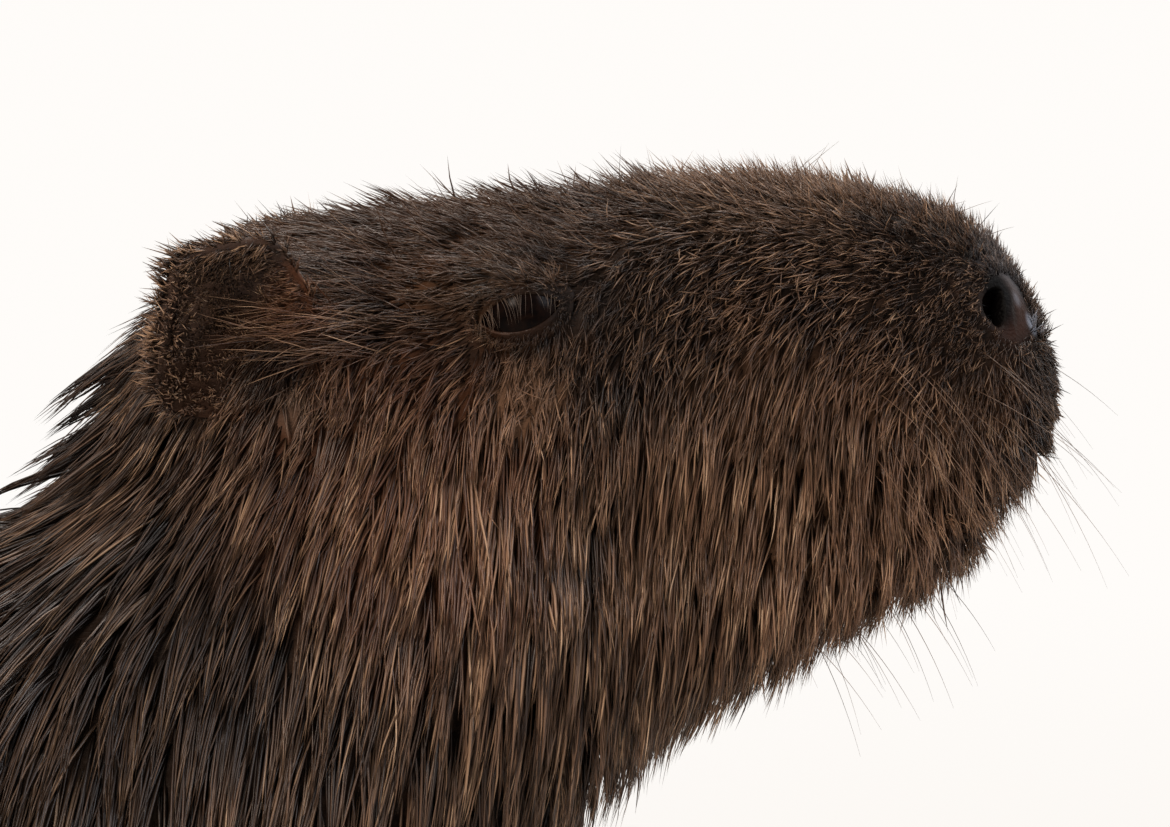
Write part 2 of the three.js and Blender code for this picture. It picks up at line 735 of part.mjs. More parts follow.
// Ears and claws grow on the finished pieces, cut clear of them by the gap
for (const [side, word] of [[1, "left"], [-1, "right"]]) {
  const clear = joined([
    solid(new Loft(skullTable, gap).geometry(24, 2)),
    solid(new Loft(neckTable, gap).geometry(20, 2)),
  ]);
  addNode(`ear_${word}`, earSolid(side).subtract(clear), material(colours.skin));
}
const clawLook = material(colours.claw, 0.5);
for (const [kind, foot] of [["fore", foreFoot], ["hind", hindFoot]]) {
  for (const [side, word] of [[1, "left"], [-1, "right"]]) {
    const step = stride[word + (kind === "fore" ? "Fore" : "Hind")];
    for (const index of foot.toes.keys()) {
      const toe = solid(new Loft(toeTable(foot, index, side, step), gap).geometry(7, 1));
      const claw = solid(new Loft(clawTable(foot, index, side, step)).geometry(6, 1));
      addNode(`claw_${kind}_${word}_${index + 1}`, claw.subtract(toe), clawLook);
    }
  }
}

export default capybara;
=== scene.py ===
# A wet capybara standing with its head raised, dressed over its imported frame.
# Sizes in the dictionaries are millimetres, and turn to metres where a mesh is made.
import math
import bmesh
import bpy
import numpy as np
from mathutils import Matrix, Vector
from mathutils.bvhtree import BVHTree
from mathutils.kdtree import KDTree


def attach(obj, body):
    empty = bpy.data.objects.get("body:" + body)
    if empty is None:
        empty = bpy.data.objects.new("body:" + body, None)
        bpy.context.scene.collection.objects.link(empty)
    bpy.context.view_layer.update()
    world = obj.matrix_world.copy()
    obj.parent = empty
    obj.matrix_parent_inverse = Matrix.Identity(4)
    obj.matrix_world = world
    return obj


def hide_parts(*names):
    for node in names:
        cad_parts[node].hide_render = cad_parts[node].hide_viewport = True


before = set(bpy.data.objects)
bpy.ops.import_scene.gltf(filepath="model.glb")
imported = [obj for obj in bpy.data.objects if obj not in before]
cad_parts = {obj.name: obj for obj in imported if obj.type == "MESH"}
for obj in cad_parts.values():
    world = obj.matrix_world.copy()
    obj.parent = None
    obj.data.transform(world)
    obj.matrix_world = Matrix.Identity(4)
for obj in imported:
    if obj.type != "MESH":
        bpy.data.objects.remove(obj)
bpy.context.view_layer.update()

metre = 0.001
midBodyX = -86.3  # puts x = 0 at the middle of the animal's length
eye = {"x": 430, "z": 655, "outY": 50, "radius": 14, "tilt": 0.24, "half": 12.0, "upper": 5.5, "lower": 5.3}
stride = {"leftFore": 14, "rightFore": -8, "leftHind": -16, "rightHind": 12}
sides = (("left", 1), ("right", -1))


def report(words):
    print("capybara:", words)


def smooth(low, high, value):
    share = np.clip((value - low) / (high - low), 0, 1)
    return share * share * (3 - 2 * share)


def within(low, high, value):
    return (value >= low) & (value < high)


def toScene(places):
    # from the solids' millimetres to metres from the frame's origin
    return (places + (midBodyX, 0, 0)) * metre


def fromScene(places):
    return places / metre - (midBodyX, 0, 0)


def unit(vectors, least=0):
    return vectors / np.maximum(np.linalg.norm(vectors, axis=-1, keepdims=True), least)


# Materials
def linear(hexColour):
    channels = [int(hexColour[i:i + 2], 16) / 255 for i in (1, 3, 5)]
    return tuple(c / 12.92 if c <= 0.04045 else ((c + 0.055) / 1.055) ** 2.4 for c in channels) + (1,)


def addNode(material, kind, settings=None, links=None):
    # settings go by property or socket name, and links by input name or number
    node = material.node_tree.nodes.new("ShaderNode" + kind)
    for key, value in (settings or {}).items():
        if isinstance(key, str) and hasattr(node, key) and key not in node.inputs:
            setattr(node, key, value)
        else:
            node.inputs[key].default_value = value
    for key, output in (links or {}).items():
        material.node_tree.links.new(output, node.inputs[key])
    return node


def newMaterial(name):
    material = bpy.data.materials.new(name)
    material.use_nodes = True
    shader = material.node_tree.nodes["Principled BSDF"]
    return material, shader


def link(material, output, shader, name):
    material.node_tree.links.new(output, shader.inputs[name])


def setLook(material, shader, colour, roughness, shine=0.5):
    link(material, colour, shader, "Base Color")
    shader.inputs["Roughness"].default_value = roughness
    shader.inputs["Specular IOR Level"].default_value = shine


def ramp(material, source, stops):
    node = addNode(material, "ValToRGB", links={"Fac": source})
    elements = node.color_ramp.elements
    while len(elements) < len(stops):
        elements.new(0.5)
    for element, (place, colour) in zip(elements, stops):
        element.position = place
        element.color = linear(colour)
    return node.outputs["Color"]


def mixColours(material, share, first, second, blend="MIX"):
    node = addNode(material, "Mix", {"data_type": "RGBA", "blend_type": blend})
    links = material.node_tree.links
    for socket, value in ((node.inputs[0], share), (node.inputs[6], first), (node.inputs[7], second)):
        if isinstance(value, bpy.types.NodeSocket):
            links.new(value, socket)
        elif isinstance(value, str):
            socket.default_value = linear(value)
        else:
            socket.default_value = value
    return node.outputs[2]


# Markings of the head, with painted highlights on the nose pads' rims and painted shade in the nostrils and
# the ears' hollows: place in mm from the eye, reach in mm, colour and strength
headMarksAndPaintedLight = {
    "brow": ((-22, 56, 14), 20, "#6b5646", 0.3),
    "crownBrown": ((-45, 0, 30), 80, "#3a220e", 0.68),
    "cheekRust": ((-40, 70, -50), 58, "#6b4129", 0.3),
    "muzzleDark": ((150, 22, -16), 34, "#1d1613", 0.35),
    "bridgeTan": ((70, 0, 44), 46, "#7a6250", 0.3),
    "tearPit": ((20, 57, 3), 11, "#2c2624", 0.5),
    "eyeRim": ((3, 60, -2), 12, "#16100d", 0.65),
    "lipTan": ((88, 50, -66), 62, "#90694f", 0.3),
    "nosePad": ((147, 27, 1), 11, "#2b1912", 0.95),
    # painted highlight: a pale bluish sheen along the rim of each nose pad
    "padRimHighlightHigh": ((146.5, 26, 13), 4.8, "#a3aab6", 0.85),
    "padRimHighlightMiddle": ((150.5, 23, 5), 4.8, "#a3aab6", 0.85),
    "padRimHighlightLow": ((154, 18, -4), 4.4, "#99a0ad", 0.6),
    "noseGrey": ((145, 15, 17), 13, "#6c6c70", 0.3),
    # painted shade: near black in and round each nostril slit
    "nostrilShadeTop": ((140.5, 27, 5), 6.5, "#020101", 1.0),
    "nostrilShadeLow": ((139.5, 27, -1), 6.5, "#020101", 1.0),
    "earRust": ((-66, 72, 2), 15, "#6e4026", 0.32),
    # painted shade in the deep hollow low in the front of the ear
    "earHollowShade": ((-74, 64, -18), 13, "#080504", 0.75),
    "earNotch": ((-67, 68, -31), 9, "#7c6556", 0.6),
    "underEyeTan": ((2, 62, -26), 14, "#8d705a", 0.3),
    "neckShade": ((-135, 90, -120), 85, "#1d140e", 0.68),
}


def objectPlace(material):
    return {"Vector": addNode(material, "TexCoord").outputs["Object"]}


def addMarksAndPaintedLight(material, colour):
    place = objectPlace(material)
    split = addNode(material, "SeparateXYZ", links={0: place["Vector"]})
    outward = addNode(material, "Math", {"operation": "ABSOLUTE"}, {0: split.outputs["Y"]})
    oneSide = {0: split.outputs["X"], 1: outward.outputs[0], 2: split.outputs["Z"]}
    folded = addNode(material, "CombineXYZ", links=oneSide)
    noise = addNode(material, "TexNoise", {"Scale": 38.0, "Detail": 2.0}, place)
    wander = addNode(material, "Math", {"operation": "SUBTRACT", 1: 0.5}, {0: noise.outputs["Fac"]})
    for (dx, y, dz), reach, tint, strength in headMarksAndPaintedLight.values():
        spot = ((eye["x"] + dx + midBodyX) * metre, y * metre, (eye["z"] + dz) * metre)
        far = addNode(material, "VectorMath", {"operation": "DISTANCE", 1: spot}, {0: folded.outputs[0]})
        uneven = addNode(material, "Math", {"operation": "MULTIPLY_ADD", 1: reach * metre * 1.2},
                         {0: wander.outputs[0], 2: far.outputs["Value"]})
        fadeFrom, fadeTo = reach * metre * 0.45, reach * metre * 1.25
        fade = addNode(material, "MapRange",
                       {"interpolation_type": "SMOOTHSTEP", 1: fadeFrom, 2: fadeTo, 3: strength, 4: 0.0},
                       {0: uneven.outputs[0]})
        colour = mixColours(material, fade.outputs[0], colour, tint)
    return colour


def makeFur(name, stops, roughness, rootShade):
    # Wet guard hair: smooth scales under a film of water give a tight cool shine on dark brown
    material, shader = newMaterial(name)
    tone = addNode(material, "Attribute", {"attribute_name": "tone"}).outputs["Fac"]
    along = addNode(material, "Attribute", {"attribute_name": "along"}).outputs["Fac"]
    colour = addMarksAndPaintedLight(material, ramp(material, tone, stops))
    patches = addNode(material, "TexNoise", {"Scale": 16.0, "Detail": 3.0}, objectPlace(material))
    shade = addNode(material, "MapRange", {1: 0.3, 2: 0.7, 3: 0.68, 4: 1.25}, {0: patches.outputs["Fac"]})
    colour = mixColours(material, 1.0, colour, shade.outputs[0], "MULTIPLY")
    depth = addNode(material, "MapRange", {1: 0.0, 2: 0.55, 3: rootShade, 4: 1.0}, {0: along})
    colour = mixColours(material, 1.0, colour, depth.outputs[0], "MULTIPLY")
    setLook(material, shader, colour, roughness, 0.3)
    return material


def makeSkin():
    # Skin with short flat hair: bump stands for the hair too short to model, about 1 mm apart
    material, shader = newMaterial("shortFurOverSkin")
    place = objectPlace(material)
    noise = addNode(material, "TexNoise", {"Scale": 260.0, "Detail": 4.0}, place)
    base = ramp(material, noise.outputs["Fac"], [(0.3, "#0d0907"), (0.55, "#1a120d"), (0.8, "#2c1e16")])
    setLook(material, shader, addMarksAndPaintedLight(material, base), 0.55, 0.06)
    stretch = addNode(material, "Mapping", {"Scale": (0.35, 1.0, 1.0)}, place)
    hairs = addNode(material, "TexNoise", {"Scale": 900.0, "Detail": 3.0}, {"Vector": stretch.outputs[0]})
    creases = addNode(material, "TexVoronoi", {"Scale": 180.0, "feature": "DISTANCE_TO_EDGE"}, place)
    height = addNode(material, "Math", {"operation": "MULTIPLY_ADD", 1: 0.6},
                     {0: creases.outputs["Distance"], 2: hairs.outputs["Fac"]})
    bump = addNode(material, "Bump", {"Strength": 0.6, "Distance": 0.001}, {"Height": height.outputs[0]})
    link(material, bump.outputs[0], shader, "Normal")
    return material


def makeBareSkin(name, dark, light, roughness, shine):
    # Bare leathery skin of lids, ears and nose pads, with creases about 1.5 mm apart
    material, shader = newMaterial(name)
    place = objectPlace(material)
    noise = addNode(material, "TexNoise", {"Scale": 150.0, "Detail": 5.0}, place)
    base = ramp(material, noise.outputs["Fac"], [(0.3, dark), (0.72, light)])
    setLook(material, shader, addMarksAndPaintedLight(material, base), roughness, shine)
    creases = addNode(material, "TexVoronoi", {"Scale": 620.0, "feature": "DISTANCE_TO_EDGE"}, place)
    shallow = addNode(material, "Math", {"operation": "MINIMUM", 1: 0.25}, {0: creases.outputs["Distance"]})
    bump = addNode(material, "Bump", {"Strength": 0.5, "Distance": 0.0008}, {"Height": shallow.outputs[0]})
    link(material, bump.outputs[0], shader, "Normal")
    return material


def makeEyeGloss():
    # Wet eyeball: a nearly black brown iris with a soft dim shine
    material, shader = newMaterial("wetEye")
    noise = addNode(material, "TexNoise", {"Scale": 420.0, "Detail": 4.0}, objectPlace(material))
    colour = ramp(material, noise.outputs["Fac"], [(0.35, "#050303"), (0.7, "#120906")])
    setLook(material, shader, colour, 0.22, 0.04)
    return material


def makeHorn():
    # Claw horn: dark keratin with fine growth lines along its length
    material, shader = newMaterial("clawHorn")
    stretch = addNode(material, "Mapping", {"Scale": (0.12, 1.0, 1.0)}, objectPlace(material))
    lines = addNode(material, "TexNoise", {"Scale": 1300.0, "Detail": 3.0}, {"Vector": stretch.outputs[0]})
    colour = ramp(material, lines.outputs["Fac"], [(0.3, "#191412"), (0.75, "#4a3f38")])
    setLook(material, shader, colour, 0.42)
    bump = addNode(material, "Bump", {"Strength": 0.3, "Distance": 0.0004},
                   {"Height": lines.outputs["Fac"]})
    link(material, bump.outputs[0], shader, "Normal")
    return material


furStops = [(0.0, "#130d0a"), (0.28, "#33251d"), (0.55, "#614a3a"), (0.8, "#967960"), (1.0, "#cbb094")]
headFur = makeFur("wetHeadFur", furStops, 0.36, 0.14)
bodyFur = makeFur("wetBodyFur", furStops, 0.42, 0.35)
whiskerHair = makeFur("whiskerHair", [(0.0, "#5d4a3c"), (1.0, "#6d5949")], 0.35, 1.0)
lashHair = makeFur("lashHair", [(0.0, "#6a5a4d"), (1.0, "#6a5a4d")], 0.4, 1.0)
skinLook = makeSkin()
bareLook = makeBareSkin("bareEarSkin", "#211813", "#42322a", 0.6, 0.08)
lidLook = makeBareSkin("bareLidSkin", "#070504", "#14100e", 0.5, 0.06)
edgeLook = makeBareSkin("moistLidEdge", "#32241e", "#574137", 0.35, 0.2)
eyeLook = makeEyeGloss()
hornLook = makeHorn()
report("materials made")


# Lofts: rounded sections through the body, bridged one to the next
def upright(x, top, bottom, half, square, fur):
    return {"x": x, "y": 0, "z": (top + bottom) / 2, "lean": math.pi / 2, "up": (top - bottom) / 2,
            "down": (top - bottom) / 2, "half": half, "square": square, "fur": fur}


def sloping(nape, throat, half, square, fur):
    reach = math.dist(nape, throat) / 2
    lean = math.atan2(nape[1] - throat[1], nape[0] - throat[0])
    return {"x": (nape[0] + throat[0]) / 2, "y": 0, "z": (nape[1] + throat[1]) / 2, "lean": lean,
            "up": reach, "down": reach, "half": half, "square": square, "fur": fur}


def fromEye(dx, top, bottom, half, square, fur):
    return upright(eye["x"] + dx, eye["z"] + top, eye["z"] + bottom, half, square, fur)


def level(z, x, y, fore, aft, half, fur):
    return {"x": x, "y": y, "z": z, "lean": 0, "up": fore, "down": aft, "half": half, "square": 2.2,
            "fur": fur}


# Nearly the sections of the solids, out to the tips of the hair, with the depth of the coat last.
# Throat and nape are drawn in by a few millimetres, where single locks stand away
body = {
    "torso": [
        upright(-404, 446, 350, 38, 2, 13),
        upright(-393, 486, 312, 82, 2.05, 13),
        upright(-360, 530, 268, 122, 2.1, 13),
        upright(-300, 568, 230, 148, 2.15, 13),
        upright(-210, 590, 200, 164, 2.25, 13),
        upright(-100, 594, 184, 170, 2.25, 13),
        upright(10, 589, 178, 170, 2.25, 13),
        upright(110, 580, 184, 162, 2.2, 13),
        upright(200, 570, 200, 150, 2.2, 13),
        upright(280, 545, 224, 132, 2.2, 13),
        upright(340, 508, 264, 106, 2.1, 13),
        upright(378, 462, 316, 70, 2, 13),
        upright(391, 420, 356, 30, 2, 13),
    ],
    "neck": [
        sloping([367, 673], [488, 563], 60, 2.2, 12),
        sloping([322, 643], [481, 542], 79, 2.2, 12),
        sloping([281, 603], [455, 509], 94, 2.2, 12),
        sloping([234, 578], [430, 466], 111, 2.2, 12),
        sloping([170, 573], [410, 412], 127, 2.2, 12),
        sloping([100, 548], [364, 330], 118, 2.2, 12),
    ],
    "skull": [
        fromEye(157, -17, -37, 12, 2, 3),
        fromEye(155, -7, -44, 21, 2.2, 3.5),
        fromEye(150, 5, -51, 31, 2.5, 4.5),
        fromEye(142, 19, -57, 38, 2.7, 5),
        fromEye(128, 30.5, -61, 43, 2.9, 6),
        fromEye(105, 38.5, -64, 48, 2.9, 6.5),
        fromEye(75, 43, -70, 53, 2.8, 7),
        fromEye(40, 41.5, -77, 58.5, 2.7, 7),
        fromEye(5, 37, -83, 64, 2.5, 7),
        fromEye(-30, 33, -85, 68, 2.4, 7),
        fromEye(-60, 30, -82, 70, 2.3, 7.5),
        fromEye(-88, 20, -74, 66, 2.2, 8),
        fromEye(-110, 0, -58, 48, 2, 8),
    ],
    "jaw": [
        fromEye(134, -54, -72, 16, 2, 5),
        fromEye(129, -48, -81, 26, 2.2, 6),
        fromEye(112, -42, -92, 36, 2.3, 8),
        fromEye(86, -42, -103, 43, 2.3, 9),
        fromEye(56, -44, -118, 49, 2.2, 10.5),
        fromEye(22, -48, -129, 56, 2.2, 11),
        fromEye(-20, -46, -128, 60, 2.2, 11),
        fromEye(-58, -50, -96, 48, 2, 9),
    ],
}


def foreLimb(side, step):
    return [
        level(360, 268, side * 80, 70, 70, 48, 10),
        level(300, 266, side * 94, 74, 72, 56, 9),
        level(245, 258 + 0.2 * step, side * 98, 58, 60, 50, 6),
        level(195, 252 + 0.4 * step, side * 98, 42, 46, 40, 4),
        level(140, 251 + 0.6 * step, side * 97, 33, 33, 33, 3),
        level(90, 256 + 0.85 * step, side * 96, 28, 27, 29, 2.5),
        level(52, 262 + step, side * 96, 31, 28, 33, 2),
        level(-4, 268 + step, side * 96, 34, 32, 36, 1.5),
    ]


def hindLimb(side, step):
    return [
        level(490, -290, side * 92, 70, 70, 44, 10),
        level(420, -272, side * 108, 108, 98, 58, 9),
        level(345, -250, side * 116, 116, 100, 62, 8),
        level(280, -234, side * 118, 100, 88, 58, 7),
        level(225, -244 + 0.3 * step, side * 116, 68, 70, 46, 5),
        level(180, -270 + 0.5 * step, side * 112, 44, 52, 36, 4),
        level(138, -284 + 0.7 * step, side * 109, 32, 33, 30, 3),
        level(90, -275 + 0.9 * step, side * 106, 29, 27, 29, 2.5),
        level(50, -264 + step, side * 105, 32, 28, 33, 2),
        level(-4, -258 + step, side * 105, 36, 32, 36, 1.5),
    ]


foreFoot = {"x": 266, "y": 96, "toes": [-27, -10, 9, 26], "reach": [48, 60, 60, 46], "radius": 11.5,
            "splay": 0.18}
hindFoot = {"x": -260, "y": 105, "toes": [-22, 0, 22], "reach": [56, 70, 56], "radius": 13, "splay": 0.14}


def alongToe(foot, index, side, step, places, square, fur):
    # places: distance from the foot's middle, height, reach up and down, and half width
    offset = foot["toes"][index]
    turn = foot["splay"] * offset / 20
    return [
        {"x": foot["x"] + step + along, "y": side * foot["y"] + offset + turn * along, "z": z,
         "lean": math.pi / 2, "up": reach, "down": reach, "half": half, "square": square, "fur": fur}
        for along, z, reach, half in places
    ]


def toeSections(foot, index, side, step):
    r = foot["radius"]
    tip = foot["reach"][index]
    places = [(0, 16, r, r * 0.9), (tip * 0.45, 12.5, r * 0.98, r * 0.86),
              (tip * 0.78, 10, r * 1.05, r * 0.95), (tip * 0.95, 9, r * 0.84, r * 0.8),
              (tip * 1.01, 8, r * 0.45, r * 0.45)]
    return alongToe(foot, index, side, step, places, 2.2, 1)


def clawSections(foot, index, side, step):
    tip = foot["reach"][index]
    places = [(tip - 9, 10, 6.6, 6), (tip + 2, 8.8, 6.3, 6), (tip + 8, 7.2, 5.2, 5.3),
              (tip + 14, 5, 3.4, 3.9), (tip + 17, 4, 1.9, 2.4)]
    return alongToe(foot, index, side, step, places, 2.4, 0)


def sectionAt(sections, u):
    # smooth curve through the sections' sizes
    last = len(sections) - 1
    i = min(int(u), last - 1)
    t = u - i
    found = {}
    for key in sections[0]:
        a, b, c, d = (sections[min(max(k, 0), last)][key] for k in (i - 1, i, i + 1, i + 2))
        found[key] = b + 0.5 * t * (c - a + t * (2 * a - 5 * b + 4 * c - d + t * (3 * b - a - 3 * c + d)))
    return found


def edgesOf(ring):
    return list({e for v in ring for e in v.link_edges})


def bridge(bm, loops):
    # joins each ring to the next and closes both ends
    for first, second in zip(loops, loops[1:]):
        bmesh.ops.bridge_loops(bm, edges=first + second)
    for end in (loops[0], loops[-1]):
        bmesh.ops.contextual_create(bm, geom=end)


def addLoft(bm, sections, around, steps):
    count = (len(sections) - 1) * steps
    loops = []
    for k in range(count + 1):
        s = sectionAt(sections, k / steps)
        ring = bmesh.ops.create_circle(bm, segments=around, radius=1)["verts"]
        for v in ring:
            across, upward = v.co.x, v.co.y
            power = 2 / s["square"]
            reach = max((s["up"] if upward > 0 else s["down"]) - s["fur"], 0.5)
            rise = reach * math.copysign(abs(upward) ** power, upward)
            half = max(s["half"] - s["fur"], 0.5)
            v.co = (s["x"] + rise * math.cos(s["lean"]),
                    s["y"] + half * math.copysign(abs(across) ** power, across),
                    s["z"] + rise * math.sin(s["lean"]))
        loops.append(edgesOf(ring))
    bridge(bm, loops)


def placed(mesh, name, material):
    piece = bpy.data.objects.new(name, mesh)
    bpy.context.scene.collection.objects.link(piece)
    mesh.materials.append(material)
    return piece


def toObject(bm, name, material):
    # turns a piece's normals outwards and puts it in the animal's place, in metres
    bmesh.ops.recalc_face_normals(bm, faces=bm.faces)
    move = Matrix.Scale(metre, 4) @ Matrix.Translation((midBodyX, 0, 0))
    bmesh.ops.transform(bm, matrix=move, verts=bm.verts)
    mesh = bpy.data.meshes.new(name)
    bm.to_mesh(mesh)
    bm.free()
    mesh.shade_smooth()
    return placed(mesh, name, material)


# Skin: the lofts fused into one surface, then shaped as a sculptor would by moving its points
skinSettings = {"voxel": 5.5, "smoothing": 10, "allOver": 3, "headFrom": 330, "headAbove": 520,
                "floor": 0.4}
tailStub = {"place": (-401, 0, 432), "size": (14, 11, 9)}


def fusedSkin():
    bm = bmesh.new()
    for sections in body.values():
        addLoft(bm, sections, 48, 3)
    for word, side in sides:
        fore, hind = stride[word + "Fore"], stride[word + "Hind"]
        addLoft(bm, foreLimb(side, fore), 28, 3)
        addLoft(bm, hindLimb(side, hind), 28, 3)
        for foot, step in ((foreFoot, fore), (hindFoot, hind)):
            for index in range(len(foot["toes"])):
                addLoft(bm, toeSections(foot, index, side, step), 16, 2)
    stub = bmesh.ops.create_uvsphere(bm, u_segments=16, v_segments=10, radius=1)["verts"]
    bmesh.ops.scale(bm, vec=tailStub["size"], verts=stub)
    bmesh.ops.translate(bm, vec=tailStub["place"], verts=stub)
    skin = toObject(bm, "skin", skinLook)
    remesh = skin.modifiers.new("fuse", "REMESH")
    remesh.mode = "VOXEL"
    remesh.voxel_size = skinSettings["voxel"] * metre
    fused = bpy.data.meshes.new_from_object(skin.evaluated_get(bpy.context.evaluated_depsgraph_get()))
    skin.modifiers.clear()
    skin.data = fused
    return skin


def pointsOf(mesh):
    # points in millimetres from the solids' own origin
    flat = np.zeros(len(mesh.vertices) * 3)
    mesh.vertices.foreach_get("co", flat)
    return fromScene(flat.reshape(-1, 3))


def setPoints(mesh, points):
    mesh.vertices.foreach_set("co", toScene(points).ravel())
    mesh.update()


def outwardOf(mesh):
    flat = np.zeros(len(mesh.vertices) * 3, np.float32)
    mesh.vertex_normals.foreach_get("vector", flat)
    return flat.reshape(-1, 3).astype(float)


def refine(mesh, chosen):
    # splits the faces whose points are all chosen, and eases the new points
    bm = bmesh.new()
    bm.from_mesh(mesh)
    bm.verts.ensure_lookup_table()
    picked = [e for e in bm.edges if chosen[e.verts[0].index] and chosen[e.verts[1].index]]
    bmesh.ops.subdivide_edges(bm, edges=picked, cuts=1, use_grid_fill=True)
    near = [v for v in bm.verts if v.index >= len(chosen) or v.index == -1 or chosen[v.index]]
    bmesh.ops.smooth_vert(bm, verts=near, factor=0.5, use_axis_x=True, use_axis_y=True, use_axis_z=True)
    bm.to_mesh(mesh)
    bm.free()


def easeAll(mesh, rounds):
    # the first rounds ease every point, and the rest only those behind the head
    bm = bmesh.new()
    bm.from_mesh(mesh)
    behind = (eye["x"] - 70 + midBodyX) * metre
    trunk = [v for v in bm.verts if v.co.x < behind]
    for turn in range(rounds):
        bmesh.ops.smooth_vert(bm, verts=bm.verts if turn < skinSettings["allOver"] else trunk, factor=0.5,
                              use_axis_x=True, use_axis_y=True, use_axis_z=True)
    bm.to_mesh(mesh)
    bm.free()


def eyeFrame(points, side):
    # along the slit, across it, and out of the head, all from the middle of the eyeball
    dx, dz = points[:, 0] - eye["x"], points[:, 2] - eye["z"]
    c, s = math.cos(eye["tilt"]), math.sin(eye["tilt"])
    return dx * c + dz * s, dz * c - dx * s, side * points[:, 1] - eye["outY"]


# Round the eye, e is 1 at the edge of an oval long by wide. The opening ends at open, and the lid fades
# out from lidTo to fadeTo. Brow and hollow: place along and across the slit, reach and height
socket = {"long": 13, "wide": 7, "film": 0.9, "open": 1.12, "sunk": -3.0, "lidTo": 1.35, "fadeTo": 3.4,
          "last": 4.2, "deep": -26, "brow": ((-4, 15), (20, 5), 2.2), "hollow": ((6, -17), (22, 6), -1.6)}


def shapeEyes(points):
    # lids swell over the ball, and the opening sinks behind it
    for side in (1, -1):
        along, across, out = eyeFrame(points, side)
        e = np.hypot(along / socket["long"], across / socket["wide"])
        here = (out > socket["deep"]) & (e < socket["last"])
        ball = np.sqrt(np.clip(eye["radius"] ** 2 - along ** 2 - across ** 2, 0, None))
        lid = np.maximum(ball + socket["film"], out)
        share = 1 - smooth(socket["lidTo"], socket["fadeTo"], e)
        raised = out + (lid - out) * share
        for name in ("brow", "hollow"):
            (midAlong, midAcross), (reachAlong, reachAcross), height = socket[name]
            fall = ((across - midAcross) / reachAcross) ** 2 + ((along - midAlong) / reachAlong) ** 2
            raised += height * np.exp(-fall)
        raised = np.where(e < socket["open"], socket["sunk"], raised)
        points[here, 1] = side * (raised[here] + eye["outY"])
    return points


# Nostrils: curved slits that lean forwards, each with a swollen rim, and the groove below them on the midline
nose = {"dx": 140, "y": 31, "dz": 1.5, "long": 6.0, "wide": 3.6, "deep": 9, "lean": 0.25, "bend": 0.05,
        "near": 22, "patch": 9, "offMiddle": 8, "rim": (1.7, 0.4, 0.8)}
groove = {"half": 2.2, "deep": 2.4, "x": (128, 146), "z": (-64, -44), "below": -6}
# The mouth's line, and the lips that swell beside it: height over the line, reach and share of the swelling
mouth = {"front": -61, "frontX": 128, "slope": 0.14, "cornerX": 76, "groove": 3.0, "width": 1.5, "lip": 2.0,
         "lips": ((5.5, 3.6, 1.0), (-5, 3.2, 0.7)), "reach": 22, "bare": 0.7}


def shapeNose(points, outward):
    slitUp = np.array((nose["lean"], 0, 1.0))
    rimAt, rimWidth, rimHeight = nose["rim"]
    for side in (1, -1):
        rel = points - np.array((eye["x"] + nose["dx"], side * nose["y"], eye["z"] + nose["dz"]))
        far = np.linalg.norm(rel, axis=1)
        near = (far < nose["near"]) & (side * points[:, 1] > nose["offMiddle"])
        facing = outward[near & (far < nose["patch"])].mean(0)
        facing /= np.linalg.norm(facing)
        upSlit = slitUp - facing * (facing @ slitUp)
        upSlit /= np.linalg.norm(upSlit)
        crossSlit = np.cross(facing, upSlit) * side
        u, v = rel @ upSlit, rel @ crossSlit
        e = np.hypot(u / nose["long"], (v - nose["bend"] * u ** 2) / nose["wide"])
        push = -nose["deep"] * (1 - smooth(0.6, 1.15, e)) + rimHeight * np.exp(-((e - rimAt) / rimWidth) ** 2)
        points[near] += facing * push[near, None]
    dx, dz = points[:, 0] - eye["x"], points[:, 2] - eye["z"]
    middle = np.exp(-(points[:, 1] / groove["half"]) ** 2) * smooth(*groove["x"], dx)
    points[:, 0] -= groove["deep"] * middle * smooth(*groove["z"], dz) * (dz < groove["below"])
    return points


def overMouth(places):
    # how far forward of the eye each place is, and how high over the line of the mouth
    dx, dz = places[:, 0] - eye["x"], places[:, 2] - eye["z"]
    return dx, dz - (mouth["front"] - mouth["slope"] * np.clip(mouth["frontX"] - dx, 0, None))


def shapeMouth(points, outward):
    dx, over = overMouth(points)
    there = smooth(mouth["cornerX"] - 10, mouth["cornerX"] + 6, dx) * (np.abs(over) < mouth["reach"])
    push = -mouth["groove"] * np.exp(-(over / mouth["width"]) ** 2)
    for height, reach, share in mouth["lips"]:
        push += share * mouth["lip"] * np.exp(-((over - height) / reach) ** 2)
    return points + outward * (push * there)[:, None]


skin = fusedSkin()
easeAll(skin.data, skinSettings["smoothing"])
points = pointsOf(skin.data)
inHead = (points[:, 0] > skinSettings["headFrom"]) & (points[:, 2] >= skinSettings["headAbove"])
refine(skin.data, inHead)
points = pointsOf(skin.data)
fromEyes = np.hypot(points[:, 0] - eye["x"], points[:, 2] - eye["z"])
lips = (points[:, 0] > eye["x"] + 66) & (np.abs(points[:, 2] - eye["z"] + 63) < 15)
snout = (points[:, 0] > eye["x"] + 118) & (points[:, 2] > eye["z"] - 64)
refine(skin.data, ((fromEyes < 30) & (np.abs(points[:, 1]) > 40)) | lips | snout)
points = pointsOf(skin.data)
fromNose = np.abs(points - (eye["x"] + nose["dx"], 0, eye["z"] + nose["dz"])) * (1, 0, 1)
refine(skin.data, (fromNose.max(1) < 13) & (np.abs(points[:, 1]) > 14))
points = shapeMouth(pointsOf(skin.data), outwardOf(skin.data))
points = shapeNose(points, outwardOf(skin.data))
points = shapeEyes(points)
points[:, 2] = np.maximum(points[:, 2], skinSettings["floor"])
setPoints(skin.data, points)
skin.data.shade_smooth()
report(f"skin has {len(skin.data.polygons)} faces")


# Eyeballs, with a slightly raised front
cornea = {"from": 0.72, "span": 0.28, "rise": 0.5}


